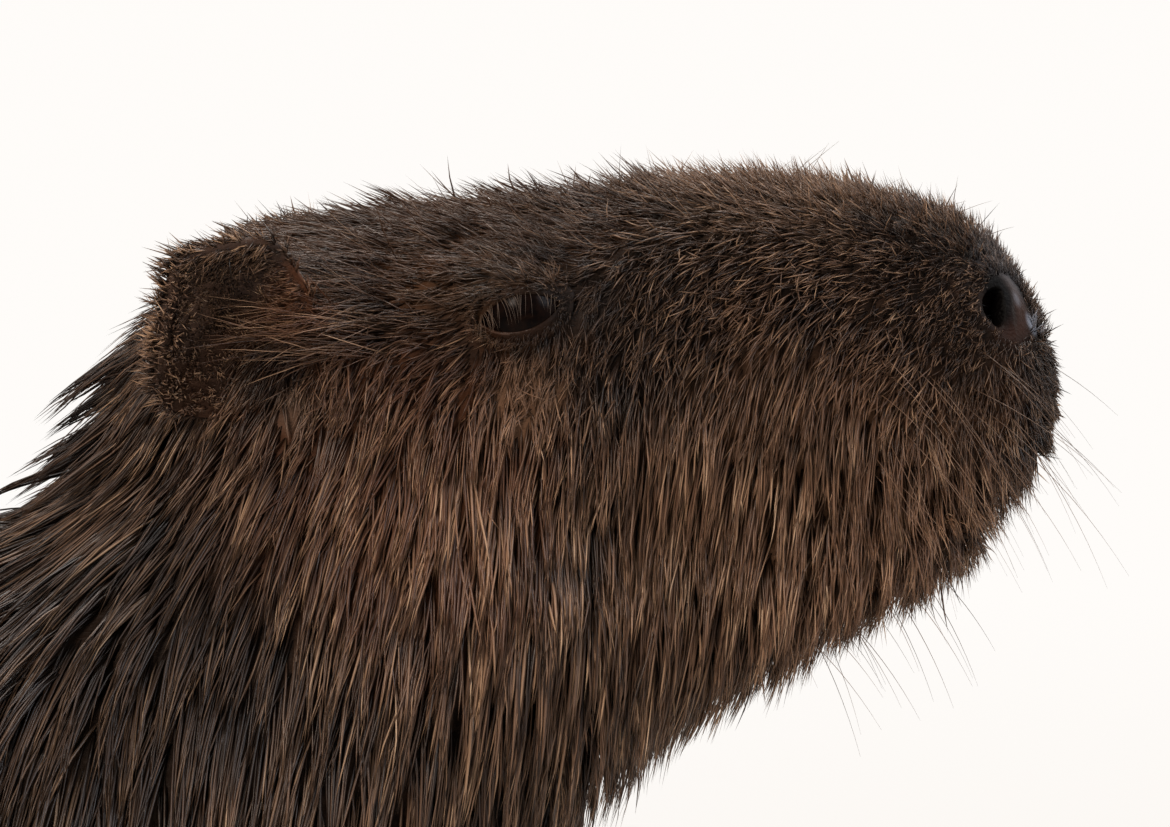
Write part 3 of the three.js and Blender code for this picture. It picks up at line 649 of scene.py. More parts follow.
def addEyeball(word, side):
    bm = bmesh.new()
    ball = bmesh.ops.create_uvsphere(bm, u_segments=48, v_segments=32, radius=eye["radius"])["verts"]
    bmesh.ops.rotate(bm, cent=(0, 0, 0), matrix=Matrix.Rotation(math.pi / 2, 3, "X"), verts=ball)
    for v in ball:
        front = side * v.co.y / eye["radius"]
        v.co += v.co.normalized() * cornea["rise"] * max(front - cornea["from"], 0) / cornea["span"]
    bmesh.ops.translate(bm, vec=(eye["x"], side * eye["outY"], eye["z"]), verts=ball)
    return toObject(bm, f"eyeball_{word}", eyeLook)


# Lids: rings bridged round the opening, as outset from its edge and height over the ball. The upper lid is
# the fuller one. The moist edge is a stretch of the lower lid, in shares of the opening and in mm
lidRings = [(0.9, -2.2), (0.0, 0.1), (-0.25, 0.35), (0.0, 0.75), (0.5, 0.95), (1.2, 1.0), (2.2, 0.8),
            (3.2, 0.3), (4.2, -0.7), (5.0, -2.0), (4.8, -4.5)]
lidShape = {"around": 72, "pinch": 0.4, "upperFull": 1.25, "spread": 0.4, "creases": 9, "creaseHigh": 0.3,
            "moistEdge": (0.95, 1.045), "moistAlong": (-9.5, 2.5)}


def fromSlit(along, across, depth, side, spread=1):
    # a place over the eyeball, from how far it is along and across the slit
    c, s = math.cos(eye["tilt"]), math.sin(eye["tilt"])
    return Vector((eye["x"] + (along * c - across * s) * spread, side * (eye["outY"] + depth),
                   eye["z"] + (across * c + along * s) * spread))


def addLids(word, side):
    bm = bmesh.new()
    loops = []
    radius = eye["radius"]
    for outset, rise in lidRings:
        ring = bmesh.ops.create_circle(bm, segments=lidShape["around"], radius=1)["verts"]
        for v in ring:
            angle = math.atan2(v.co.y, v.co.x)
            half = eye["upper"] if angle > 0 else eye["lower"]
            pinch = abs(math.sin(angle)) ** lidShape["pinch"]
            along, across = eye["half"] * math.cos(angle), half * math.sin(angle) * pinch
            away = Vector((math.cos(angle) / eye["half"], math.sin(angle) / half)).normalized()
            full = lidShape["upperFull"] if angle > 0 else 1.0
            waves = math.sin(lidShape["creases"] * angle + 1.3 * side)
            crease = lidShape["creaseHigh"] * waves * max(outset, 0) / 8
            along += away.x * outset * full
            across += away.y * outset * full
            share = min(math.hypot(along, across) / radius, 0.93)
            depth = radius * math.sqrt(1 - share * share)
            lift = (radius + rise * full + crease) / radius
            v.co = fromSlit(along, across, depth * lift, side, 1 + (lift - 1) * lidShape["spread"])
        loops.append(edgesOf(ring))
    for first, second in zip(loops, loops[1:] + loops[:1]):
        bmesh.ops.bridge_loops(bm, edges=first + second)
    lid = toObject(bm, f"lids_{word}", lidLook)
    # the moist edge of the lower lid, paler than the skin round it
    lid.data.materials.append(edgeLook)
    middles = fromScene(np.array([p.center[:] for p in lid.data.polygons]))
    along, across = eyeFrame(middles, side)[:2]
    e = np.hypot(along / eye["half"], across / eye["lower"])
    moist = within(*lidShape["moistEdge"], e) & (across < -1) & within(*lidShape["moistAlong"], along)
    lid.data.polygons.foreach_set("material_index", moist.astype(np.int32))
    return lid


# Ears: a rounded disc drawn in at its middle to a shallow cup, with a notch low in front, all under fur
ear = {"dx": -87, "y": 64, "dz": -2, "fore": 24.7, "up": 30.4, "dish": 12.3, "hollow": 6.5, "sunk": 4,
       "wall": 2.4, "leanOut": 0.42, "turn": -0.5, "notch": 0.22, "notchAt": -0.75, "fill": 0.95}
earNotch = {"dx": -67, "dz": -29, "half": 3.2, "high": 8}  # bare skin under the front of the ear


def earPlace(disc, side):
    # moves the middle of the flat round disc, or a point of its rim, to its place in the cup
    far = min(math.hypot(disc.x, disc.y), 1)
    angle = math.atan2(disc.y, disc.x)
    power = 0.76 + 0.3 * math.sin(2 * angle) * (angle > 0)  # round at the top of the front, squarer behind
    fore = far * math.copysign(abs(math.cos(angle)) ** power, math.cos(angle)) * ear["fill"]
    up = far * math.copysign(abs(math.sin(angle)) ** power, math.sin(angle)) * ear["fill"]
    notch = math.exp(-((angle - ear["notchAt"]) / 0.3) ** 2)
    edge = 1 + 0.025 * math.sin(5 * angle + 1) - ear["notch"] * notch
    hollow = math.exp(-(((fore - 0.28) / 0.3) ** 2 + ((up + 0.22) / 0.34) ** 2))
    out = ear["dish"] * far - ear["hollow"] * hollow - ear["sunk"]
    return ear["fore"] * fore * edge, side * out, ear["up"] * up * edge


def addEar(word, side):
    bm = bmesh.new()
    bmesh.ops.create_circle(bm, cap_ends=True, segments=64, radius=1)
    bmesh.ops.poke(bm, faces=bm.faces)
    for v in bm.verts:
        v.co = earPlace(v.co, side)
    bmesh.ops.recalc_face_normals(bm, faces=bm.faces)
    bmesh.ops.solidify(bm, geom=bm.faces, thickness=ear["wall"])
    # solidify leaves the faces in another order each run, and the hair is drawn by face
    askew = Vector((1, 0.37, 0.11))
    bm.faces.sort(key=lambda f: f.calc_center_median().dot(askew))
    for angle, axis in ((-side * ear["leanOut"], "X"), (side * ear["turn"], "Z")):
        bmesh.ops.rotate(bm, cent=(0, 0, 0), matrix=Matrix.Rotation(angle, 3, axis), verts=bm.verts)
    place = (eye["x"] + ear["dx"], side * ear["y"], eye["z"] + ear["dz"])
    bmesh.ops.translate(bm, vec=place, verts=bm.verts)
    return toObject(bm, f"earCup_{word}", bareLook)


fleshNodes = ["head", "neck", "torso", "tail"]
for word, side in sides:
    fleshNodes += [f"foreleg_{word}", f"forefoot_{word}", f"hindleg_{word}", f"hindfoot_{word}"]
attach(skin, "root")
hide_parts(*fleshNodes)
ears, lids = {}, {}
for word, side in sides:
    ball = addEyeball(word, side)
    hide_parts(f"eye_{word}")
    lids[word] = addLids(word, side)
    ears[word] = addEar(word, side)
    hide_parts(f"ear_{word}")
    for piece, slot in ((ball, "eye"), (lids[word], "bare_skin"), (ears[word], "bare_skin")):
        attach(piece, "root")
    for kind, foot in (("fore", foreFoot), ("hind", hindFoot)):
        step = stride[word + kind.capitalize()]
        for index in range(len(foot["toes"])):
            bm = bmesh.new()
            addLoft(bm, clawSections(foot, index, side, step), 16, 3)
            for v in bm.verts:
                v.co.z = max(v.co.z, 0.6)
            claw = toObject(bm, f"hornClaw_{kind}_{word}_{index + 1}", hornLook)
            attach(claw, "root")
            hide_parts(f"claw_{kind}_{word}_{index + 1}")
report("eyes, lids, ears and claws placed")


# Lie of the coat, read from guide points, in mm from the eye for the head and neck and from the lofts' own
# origin for the body. Each has its place, the way the hair points (forwards, outwards, up), its length and
# how far it lifts
headGuides = {
    "noseTop": ((150, 8, 2), (-0.6, 0.1, 0.5), 4, 0.8),
    "noseFront": ((156, 8, -26), (0.2, 0.1, -1), 3.5, 0.6),
    "besideNostril": ((134, 38, -4), (-0.6, 0.2, -0.5), 4, 0.7),
    "underNostril": ((142, 34, -26), (-0.2, 0.2, -1), 9, 0.5),
    "lipFront": ((148, 16, -52), (0.22, 0.1, -1), 14, 0.4),
    "lipFore": ((134, 36, -48), (0.2, 0.1, -1), 20, 0.4),
    "lipSide": ((112, 46, -52), (0.0, 0.1, -1), 26, 0.3),
    "lipBack": ((80, 50, -62), (-0.12, 0.1, -1), 35, 0.24),
    "bridgeFront": ((128, 0, 31), (-1, 0, 0.25), 7, 1.0),
    "bridge": ((85, 0, 43), (-1, 0, 0.15), 8, 0.9),
    "bridgeBack": ((40, 0, 41), (-1, 0, 0.06), 12, 0.5),
    "muzzleTopSide": ((105, 44, 14), (-0.9, 0, -0.35), 9, 0.8),
    "muzzleSide": ((112, 48, -14), (-0.6, 0.1, -0.75), 12, 0.6),
    "muzzleBack": ((68, 53, 4), (-0.8, 0, -0.65), 12, 0.6),
    "muzzleMid": ((82, 53, -22), (-0.3, 0, -0.95), 24, 0.32),
    "muzzleLow": ((92, 50, -40), (-0.08, 0, -1), 31, 0.24),
    "beforeEye": ((34, 56, 2), (-0.45, 0, -0.85), 10, 0.5),
    "underEye": ((8, 62, -16), (-0.2, 0, -1), 10, 0.3),
    "overEye": ((4, 56, 16), (-0.95, 0.1, 0.15), 9, 0.3),
    "behindEye": ((-26, 62, 4), (-0.95, 0, -0.25), 15, 0.38),
    "temple": ((-55, 62, 14), (-1, 0, -0.15), 17, 0.26),
    "earFront": ((-57, 68, -24), (-0.25, 0, -1), 12, 0.25),
    "crownFront": ((0, 0, 37), (-1, 0, 0.02), 17, 0.3),
    "crown": ((-45, 0, 32), (-1, 0, 0), 19, 0.24),
    "crownBack": ((-88, 0, 20), (-0.95, 0, -0.35), 18, 0.24),
    "cheekTop": ((30, 58, -34), (-0.1, 0, -1), 28, 0.2),
    "cheekFront": ((45, 56, -56), (-0.12, 0, -1), 38, 0.16),
    "cheek": ((-8, 66, -45), (-0.12, 0, -1), 38, 0.16),
    "cheekBack": ((-50, 68, -36), (-0.3, 0, -1), 36, 0.18),
    "cheekLow": ((5, 60, -92), (-0.16, 0, -1), 44, 0.2),
    "chin": ((130, 8, -76), (0.1, 0, -1), 12, 0.5),
    "jawFront": ((108, 26, -90), (-0.1, 0.1, -1), 17, 0.5),
    "jaw": ((76, 34, -106), (-0.1, 0, -1), 24, 0.45),
    "jawBack": ((35, 30, -130), (-0.1, 0, -1), 32, 0.5),
    "jawSide": ((50, 50, -96), (-0.14, 0, -1), 42, 0.22),
    "throat": ((25, 20, -155), (-0.35, 0, -1), 36, 0.3),
    "neckHigh": ((-70, 84, -70), (-0.22, 0, -1), 42, 0.16),
    "neckSide": ((-110, 100, -125), (-0.18, 0, -1), 54, 0.16),
    "neckLow": ((-40, 90, -170), (-0.2, 0, -1), 52, 0.16),
    "neckFront": ((8, 30, -200), (-0.45, 0, -1), 42, 0.14),
    "napeHigh": ((-112, 0, -2), (-0.9, 0, -0.55), 34, 0.2),
    "nape": ((-160, 0, -58), (-0.7, 0, -0.75), 42, 0.22),
    "napeSide": ((-130, 60, -50), (-0.36, 0, -1), 50, 0.2),
    "napeFlank": ((-148, 80, -84), (-0.3, 0, -1), 54, 0.2),
    "neckRear": ((-172, 95, -125), (-0.28, 0, -1), 56, 0.18),
    "neckBase": ((-150, 106, -190), (-0.22, 0, -1), 56, 0.16),
}
bodyGuides = {
    "withers": ((170, 0, 570), (-1, 0, -0.05), 48, 0.24),
    "back": ((0, 0, 590), (-1, 0, 0), 54, 0.22),
    "loin": ((-200, 0, 590), (-1, 0, -0.05), 56, 0.22),
    "rump": ((-350, 0, 535), (-0.85, 0, -0.6), 54, 0.24),
    "rear": ((-402, 0, 420), (-0.1, 0, -1), 44, 0.2),
    "rearLow": ((-380, 40, 300), (-0.1, 0, -1), 36, 0.2),
    "flankHigh": ((0, 130, 530), (-0.95, 0, -0.35), 58, 0.14),
    "flank": ((0, 168, 380), (-0.85, 0, -0.5), 60, 0.12),
    "flankRear": ((-200, 160, 430), (-0.85, 0, -0.55), 58, 0.13),
    "flankLow": ((-20, 140, 240), (-0.9, 0, -0.4), 50, 0.12),
    "belly": ((-20, 40, 184), (-1, 0, -0.05), 34, 0.1),
    "bellyFront": ((180, 40, 200), (-1, 0, -0.1), 34, 0.1),
    "breast": ((385, 0, 400), (0, 0, -1), 46, 0.2),
    "breastSide": ((350, 80, 380), (-0.3, 0, -1), 50, 0.16),
    "shoulder": ((260, 135, 430), (-0.5, 0, -0.9), 54, 0.14),
    "elbow": ((250, 145, 290), (-0.4, 0, -0.95), 40, 0.14),
    "foreArm": ((256, 130, 200), (-0.3, 0, -1), 22, 0.16),
    "foreShank": ((254, 125, 120), (-0.15, 0, -1), 13, 0.16),
    "thigh": ((-262, 168, 380), (-0.5, 0, -0.9), 50, 0.14),
    "thighLow": ((-240, 168, 260), (-0.4, 0, -0.95), 30, 0.15),
    "hock": ((-285, 138, 150), (-0.2, 0, -1), 15, 0.16),
    "hindShank": ((-272, 130, 90), (-0.05, 0, -1), 11, 0.16),
    "foreToes": ((300, 96, 20), (0.9, 0, -0.35), 6, 0.14),
    "hindToes": ((-222, 105, 20), (0.9, 0, -0.35), 6, 0.14),
}
guidePlaces, guideWays, guideSizes = [], [], []
for guides, base in ((headGuides, (eye["x"], 0, eye["z"])), (bodyGuides, (0, 0, 0))):
    for place, way, length, lift in guides.values():
        guidePlaces.append(np.array(place) + base)
        guideWays.append(np.array(way) / np.linalg.norm(way))
        guideSizes.append((length, lift))
guidePlaces, guideWays, guideSizes = (np.array(x, float) for x in (guidePlaces, guideWays, guideSizes))


def lieAt(places):
    # nearer guides count more. A guide's outward part points away from the midline on both sides
    flipped = places * (1, 0, 1) + np.abs(places[:, 1:2]) * (0, 1, 0)
    far = np.linalg.norm(flipped[:, None] - guidePlaces[None], axis=2) + 4
    weight = far ** -4.0
    weight /= weight.sum(1, keepdims=True)
    way = weight @ guideWays
    way[:, 1] *= np.sign(places[:, 1])
    sizes = weight @ guideSizes
    return unit(way), sizes[:, 0], sizes[:, 1]


def groundOf(mesh):
    # the surface that hair grows on: a search tree and its triangles in millimetres
    bm = bmesh.new()
    bm.from_mesh(mesh)
    bmesh.ops.triangulate(bm, faces=bm.faces)
    tree = BVHTree.FromBMesh(bm)
    corners = fromScene(np.array([[v.co[:] for v in f.verts] for f in bm.faces]))
    bm.free()
    crossed = np.cross(corners[:, 1] - corners[:, 0], corners[:, 2] - corners[:, 0])
    areas = np.linalg.norm(crossed, axis=1) / 2
    facing = crossed / np.maximum(areas * 2, 1e-9)[:, None]
    return {"tree": tree, "corners": corners, "areas": areas, "facing": facing, "centres": corners.mean(1)}


def onGround(ground, places):
    # nearest point of the surface to each place, and the way out of it
    found = [ground["tree"].find_nearest(Vector(p)) for p in toScene(places).tolist()]
    return fromScene(np.array([f[0][:] for f in found])), np.array([f[1][:] for f in found])


earFoot = {"dx": -66.0, "y": 60, "dz": -26.0}


def earLie(places):
    # hair of the ear fans out from its foot to the rim, and lies back along the top and the front
    foot = np.tile((eye["x"] + earFoot["dx"], earFoot["y"], eye["z"] + earFoot["dz"]), (len(places), 1))
    foot[:, 1] *= np.sign(places[:, 1])
    dx, dz = places[:, 0] - eye["x"], places[:, 2] - eye["z"]
    back = np.maximum(smooth(6, 20, dz), smooth(-76, -66, dx))
    way = unit(places - foot) * (1 - back)[:, None] + np.array((-1, 0, 0.08)) * back[:, None]
    return way, 3.6 + 2.8 * back + 3.4 * smooth(-92, -106, dx), 0.75 - 0.42 * back


def templeLie(places):
    # long hairs before the ear cross over it towards the rear
    way = np.tile((-0.9, 0.42, -0.06), (len(places), 1))
    way[:, 1] *= np.sign(places[:, 1])
    return way, np.full(len(places), 30.0), np.full(len(places), 0.4)


def lidLie(places):
    # hair of the upper lid lies back, and that of the lower lid falls away from the eye
    over = places[:, 2] > eye["z"]
    way = np.where(over[:, None], (-0.85, 0.15, -0.2), (-0.45, 0.1, -0.9))
    way[:, 1] *= np.sign(places[:, 1])
    return unit(way), 3.4 + 1.8 * over, np.full(len(places), 0.35)


skinGround = groundOf(skin.data)
centres = skinGround["centres"]


def hideMap(places, out):
    # place on the skin's own unwrap: its flanks, inner legs, back, belly, front and rear laid side by side
    x, y, z = (places[:, 0] + 500) / 1000, places[:, 1] / 1000, places[:, 2] / 1000
    flank = np.abs(out[:, 1]) >= 0.6
    inner = flank & (out[:, 1] * y < 0)
    left = (out[:, 1] > 0) * 0.5
    u = np.where(flank, left + 0.47 * x, 0)
    v = np.where(flank, 0.01 + 0.47 * z + 0.57 * inner, 0)
    level = ~flank & (np.abs(out[:, 2]) >= np.abs(out[:, 0]))
    u = np.where(level, 0.47 * x + 0.5 * (out[:, 2] < 0), u)
    v = np.where(level, 0.46 + 0.47 * y, v)
    ends = ~flank & ~level
    u = np.where(ends, 0.12 + 0.3 * y + 0.2 * (out[:, 0] < 0), u)
    v = np.where(ends, 0.77 + 0.3 * z, v)
    return np.stack([u, v], 1)


# Zones of the coat. A border between two of them wanders by a few millimetres, so that no parting shows
placeX, placeZ = centres[:, 0] - eye["x"], centres[:, 2] - eye["z"]
ragged = np.random.default_rng(31).normal(0, 1, (3, len(centres)))
muzzle = placeX + 9 * ragged[0] > 34 + 0.25 * np.clip(-placeZ - 40, 0, None)
neckLine = 0.53 * (centres[:, 0] - 392) + 0.85 * (centres[:, 2] - 578) + 7 * ragged[1]
headZone = neckLine > 0
jowl = headZone & ~muzzle & (placeZ + 5 * ragged[2] < -30 - 0.25 * np.clip(placeX, -60, 30))
face = headZone & ~muzzle & ~jowl
lip = muzzle & (placeZ + 3 * ragged[2] < -26)
tufts = np.zeros(len(centres), bool)
for spot in (-76, -66, -33, 6, 38):
    tufts |= headZone & (placeZ > 18) & (np.abs(centres[:, 1]) < 24) & (np.abs(placeX - spot) < 4)
neckZone = ~headZone & (0.64 * (centres[:, 0] - 286) + 0.768 * (centres[:, 2] - 486) > 0)
trunk = ~headZone & ~neckZone
lowFrom = 262 - 60 * smooth(120, 60, np.abs(centres[:, 1]))
limbs = (np.abs(centres[:, 0] - 262) < 75) | within(-360, -150, centres[:, 0]) | (centres[:, 2] < 165)
leg = trunk & (centres[:, 2] < lowFrom) & limbs
rightSide = centres[:, 1] < 0
nape = (neckZone | (headZone & (placeX < -98))) & (np.abs(centres[:, 1]) < 62)
nape &= (placeZ - 0.85 * placeX > 60) & (placeZ + 3 * ragged[2] < -8) & (placeX > -180)

# Coat pieces. on: the faces it grows on. hairs: their number. segments: rings along one hair.
# clump: mm between the middles of wet locks. gather: how far hairs draw together at the tip. width in mm.
# stray: how far hairs leave their lock. light: how pale they are. A pair is for the right and the left side
coatPieces = {
    "muzzleFur": {"on": muzzle & ~lip, "hairs": (9600, 5400), "segments": 3, "clump": (3.5, 4),
                  "gather": 0.45, "width": (0.48, 0.64), "stray": 0.21, "light": 0.35},
    "lipFur": {"on": lip, "hairs": (5000, 2700), "segments": 4, "clump": (8, 9),
               "gather": 0.9, "width": (0.66, 0.9), "stray": 0.15, "light": 0.46},
    "faceFur": {"on": face, "hairs": (7600, 4200), "segments": 3, "clump": (7, 7.5),
                "gather": 0.78, "width": (0.56, 0.74), "stray": 0.2, "light": 0.32},
    "jowlFur": {"on": jowl, "hairs": (5400, 3200), "segments": 4, "clump": (9, 10),
                "gather": 0.95, "width": (0.88, 1.15), "stray": 0.14, "light": 0.4},
    "crownTufts": {"on": tufts, "hairs": 260, "segments": 4, "clump": 8, "gather": 1.0, "width": 0.6,
                   "stray": 0.05, "light": 0.2, "lift": 2.4},
    "neckFur": {"on": neckZone, "hairs": (7600, 3300), "segments": 4, "clump": (10, 12),
                "gather": 1.0, "width": (0.86, 1.3), "stray": 0.12, "light": 0.4},
    "napeLocks": {"on": nape, "hairs": 1150, "segments": 5, "clump": 17, "gather": 1.05, "width": 1.2,
                  "stray": 0.06, "light": 0.2, "lift": 1.9, "long": 1.45, "look": bodyFur},
    "trunkFur": {"on": trunk & ~leg, "hairs": (7600, 7600), "segments": 3, "clump": 18,
                 "gather": 0.7, "width": 1.8, "stray": 0.3, "light": 0.34, "look": bodyFur},
    "limbFur": {"on": leg, "hairs": 7000, "segments": 2, "clump": 8, "gather": 0.5, "width": 1.4,
                "stray": 0.06, "light": 0.32, "look": bodyFur},
}
# What all hairs share. shift moves a root before it picks its lock, as a share of clump. bakePatch is the
# side of one hair's own place on the unwrap
habits = {"shift": 0.12, "stand": (0.35, 1.75), "lockLong": (0.82, 1.12), "hairLong": (0.6, 1.06),
          "strayFar": 0.07, "rootDepth": 0.6, "overSkin": 0.35, "overFloor": 1.2, "flat": 0.75,
          "bakePatch": 0.003}


def forSide(piece, index):
    return {key: value[index] if isinstance(value, tuple) else value for key, value in piece.items()}


def singlePieces():
    for name, piece in coatPieces.items():
        if isinstance(piece["hairs"], tuple):
            for index, (word, here) in enumerate((("right", rightSide), ("left", ~rightSide))):
                yield f"{name}_{word}", forSide(piece, index) | {"on": piece["on"] & here}
        else:
            yield name, piece


def scatter(ground, piece, lie, rng):
    # roots spread over the chosen faces, thinner where the hair is long
    chosen = np.flatnonzero(piece["on"])
    length = lie(ground["centres"][chosen])[1]
    weight = ground["areas"][chosen] / length ** 0.9
    picked = chosen[rng.choice(len(chosen), piece["hairs"], p=weight / weight.sum())]
    a, b = np.sqrt(rng.random(len(picked))), rng.random(len(picked))
    c = ground["corners"][picked]
    places = c[:, 0] * (1 - a)[:, None] + c[:, 1] * (a * (1 - b))[:, None] + c[:, 2] * (a * b)[:, None]
    return places, ground["facing"][picked]


# Bare patches of the nose pad and the nostril: mm forward of the nostril, mm inwards, and reach
barePatches = ((6.5, 4, (9.2, 15.0, 11.0)), (0, 3, (5.0, 9.0, 6.8)))


def bareSpots(places, gap):
    # no hair on the eyes, in the nostrils, on the nose pad, in the notch under the ear or in the mouth
    keep = np.ones(len(places), bool)
    for side in (1, -1):
        along, across, out = eyeFrame(places, side)
        e = np.hypot(along / (eye["half"] + gap), across / (eye["upper"] + gap))
        keep &= ~((e < 1) & (out > -20))
        for ahead, inwards, reach in barePatches:
            middle = (eye["x"] + nose["dx"] + ahead, side * (nose["y"] - inwards), eye["z"] + nose["dz"])
            keep &= np.linalg.norm((places - middle) / reach, axis=1) > 1
    dx, over = overMouth(places)
    dz = places[:, 2] - eye["z"]
    fromNotch = np.hypot((dx - earNotch["dx"]) / earNotch["half"], (dz - earNotch["dz"]) / earNotch["high"])
    return keep & (fromNotch > 1) & ~((np.abs(over) < mouth["bare"]) & (dx > mouth["cornerX"]))


def guidePaths(ground, lie, roots, out, segments, stand, longer):
    # the path that the middle of each lock takes over the surface
    paths = [roots]
    normals = [out]
    way, length, lift = lie(roots)
    length = length * longer
    bend = np.clip((length - 8) / 20, 0.25, 1.15)
    place, normal = roots, out
    for k in range(segments):
        share = k / segments
        way = lie(place)[0]
        away = (way * normal).sum(1, keepdims=True)
        flat = unit(way - normal * away, 0.25)
        hang = np.clip(away, 0, None) * 0.9
        step = unit(flat + normal * (hang + (stand * lift * (1 - bend * share))[:, None]))
        place = place + step * (length / segments)[:, None]
        near, normal = onGround(ground, place)
        height = ((place - near) * normal).sum(1)
        least = 0.4 + 0.05 * length * (share + 1 / segments)
        place = np.where((height < least)[:, None], near + normal * least[:, None], place)
        paths.append(place)
        normals.append(normal)
    return np.stack(paths, 1), np.stack(normals, 1), length


def gatherLocks(roots, spacing, rng):
    # the first root met in each cell of a grid leads its lock, and each root joins the leader nearest to it
    taken = {}
    for i in rng.permutation(len(roots)):
        taken.setdefault(tuple((roots[i] // spacing).astype(int)), i)
    leaders = np.array(list(taken.values()))
    tree = KDTree(len(leaders))
    for n, i in enumerate(leaders):
        tree.insert(roots[i], n)
    tree.balance()
    shift = rng.normal(0, spacing * habits["shift"], roots.shape)
    return leaders, np.array([tree.find(p)[1] for p in (roots + shift).tolist()])


def combHairs(ground, piece, lie, roots, out, shares, rng):
    # each hair's line, the way up from the skin along it, its length, the usual length and its lock's tone
    leaders, owner = gatherLocks(roots, piece["clump"], rng)
    count, segments = len(roots), piece["segments"]
    stand = rng.uniform(*habits["stand"], len(leaders)) * piece.get("lift", 1)
    longer = piece.get("long", 1)
    paths, normals, lengths = guidePaths(ground, lie, roots[leaders], out[leaders], segments, stand, longer)
    lockTone = rng.random(len(leaders))
    lockLong = rng.uniform(*habits["lockLong"], len(leaders))
    reach = np.clip(lockLong[owner] * rng.uniform(*habits["hairLong"], count), 0.4, 1.15)
    wanted = shares[None] * reach[:, None] * segments
    at = np.clip(wanted.astype(int), 0, segments - 1)
    t = (wanted - at)[..., None]
    rows = np.arange(count)[:, None]
    path, lean = paths[owner], normals[owner]
    line = path[rows, at] * (1 - t) + path[rows, at + 1] * t
    up = lean[rows, at] * (1 - t) + lean[rows, at + 1] * t
    up[:, 0] = out
    offset = roots - roots[leaders][owner]
    pull = 1 - piece["gather"] * rng.uniform(0.7, 1.1, count)[:, None] * shares[None] ** 0.9
    line = line + offset[:, None] * np.clip(pull, 0, 1)[..., None]
    # each hair strays a little from its lock, and about one in fourteen strays twice as far
    long = lengths[owner]
    often = np.where(rng.random(count) < habits["strayFar"], 2.0, 1.0)
    stray = piece["stray"] * often * long * np.clip(13 / long, 0, 1) ** 1.5
    line = line + rng.normal(0, 1, (count, 1, 3)) * stray[:, None, None] * (shares ** 1.4)[None, :, None]
    line = line + rng.normal(0, 0.006, line.shape) * (long[:, None] * shares[None])[..., None]
    line[:, 0] = roots - out * habits["rootDepth"]
    return keptOver(ground, line), up, long, np.median(lengths), lockTone[owner]


def keptOver(ground, line):
    # nothing but the roots dips under the surface, or under the floor
    free = line[:, 1:].reshape(-1, 3)
    near, normal = onGround(ground, free)
    low = ((free - near) * normal).sum(1) < habits["overSkin"]
    free[low] = near[low] + normal[low] * habits["overSkin"]
    line[:, 1:] = free.reshape(line[:, 1:].shape)
    line[..., 2] = np.maximum(line[..., 2], habits["overFloor"])
    return line


def hairCorners(line, up, twist, wide, shares):
    # rings of three corners along each hair, closing in a point
    ahead = unit(np.gradient(line, axis=1), 1e-6)
    across = unit(np.cross(ahead, up), 1e-6)
    ridge = np.cross(across, ahead)
    c, s = np.cos(twist), np.sin(twist)
    across, ridge = across * c + ridge * s, ridge * c - across * s
    taper = np.interp(shares, [0, 0.25, 0.6, 0.85, 1], [0.75, 1, 0.85, 0.5, 0.1])
    half = (wide[:, None] * taper[None] / 2)[:, :-1, None]
    middle, sideways = line[:, :-1], across[:, :-1] * half
    raised = middle + ridge[:, :-1] * half * habits["flat"]
    rings = np.stack([middle + sideways, raised, middle - sideways], 2)
    return np.concatenate([rings.reshape(len(line), -1, 3), line[:, -1:]], 1)


def hairMesh(name, verts, segments):
    # joins the rings of all the hairs with triangles, and gives the mesh and its triangles' corners
    count, perHair = verts.shape[:2]
    pattern = [(0, 2, 1)]
    for k in range(segments - 1):
        for j in range(3):
            a, b = k * 3 + j, k * 3 + (j + 1) % 3
            pattern += [(a, b, b + 3), (a, b + 3, a + 3)]
    last = (segments - 1) * 3
    pattern += [(last + j, last + (j + 1) % 3, last + 3) for j in range(3)]
    corners = (np.array(pattern)[None] + (np.arange(count) * perHair)[:, None, None]).reshape(-1)
    mesh = bpy.data.meshes.new(name)
    mesh.vertices.add(count * perHair)
    mesh.vertices.foreach_set("co", toScene(verts.reshape(-1, 3)).ravel())
    mesh.loops.add(len(corners))
    mesh.loops.foreach_set("vertex_index", corners)
    mesh.polygons.add(len(corners) // 3)
    mesh.polygons.foreach_set("loop_start", np.arange(0, len(corners), 3))
    mesh.update(calc_edges=True)
    mesh.shade_smooth()
    return mesh, corners


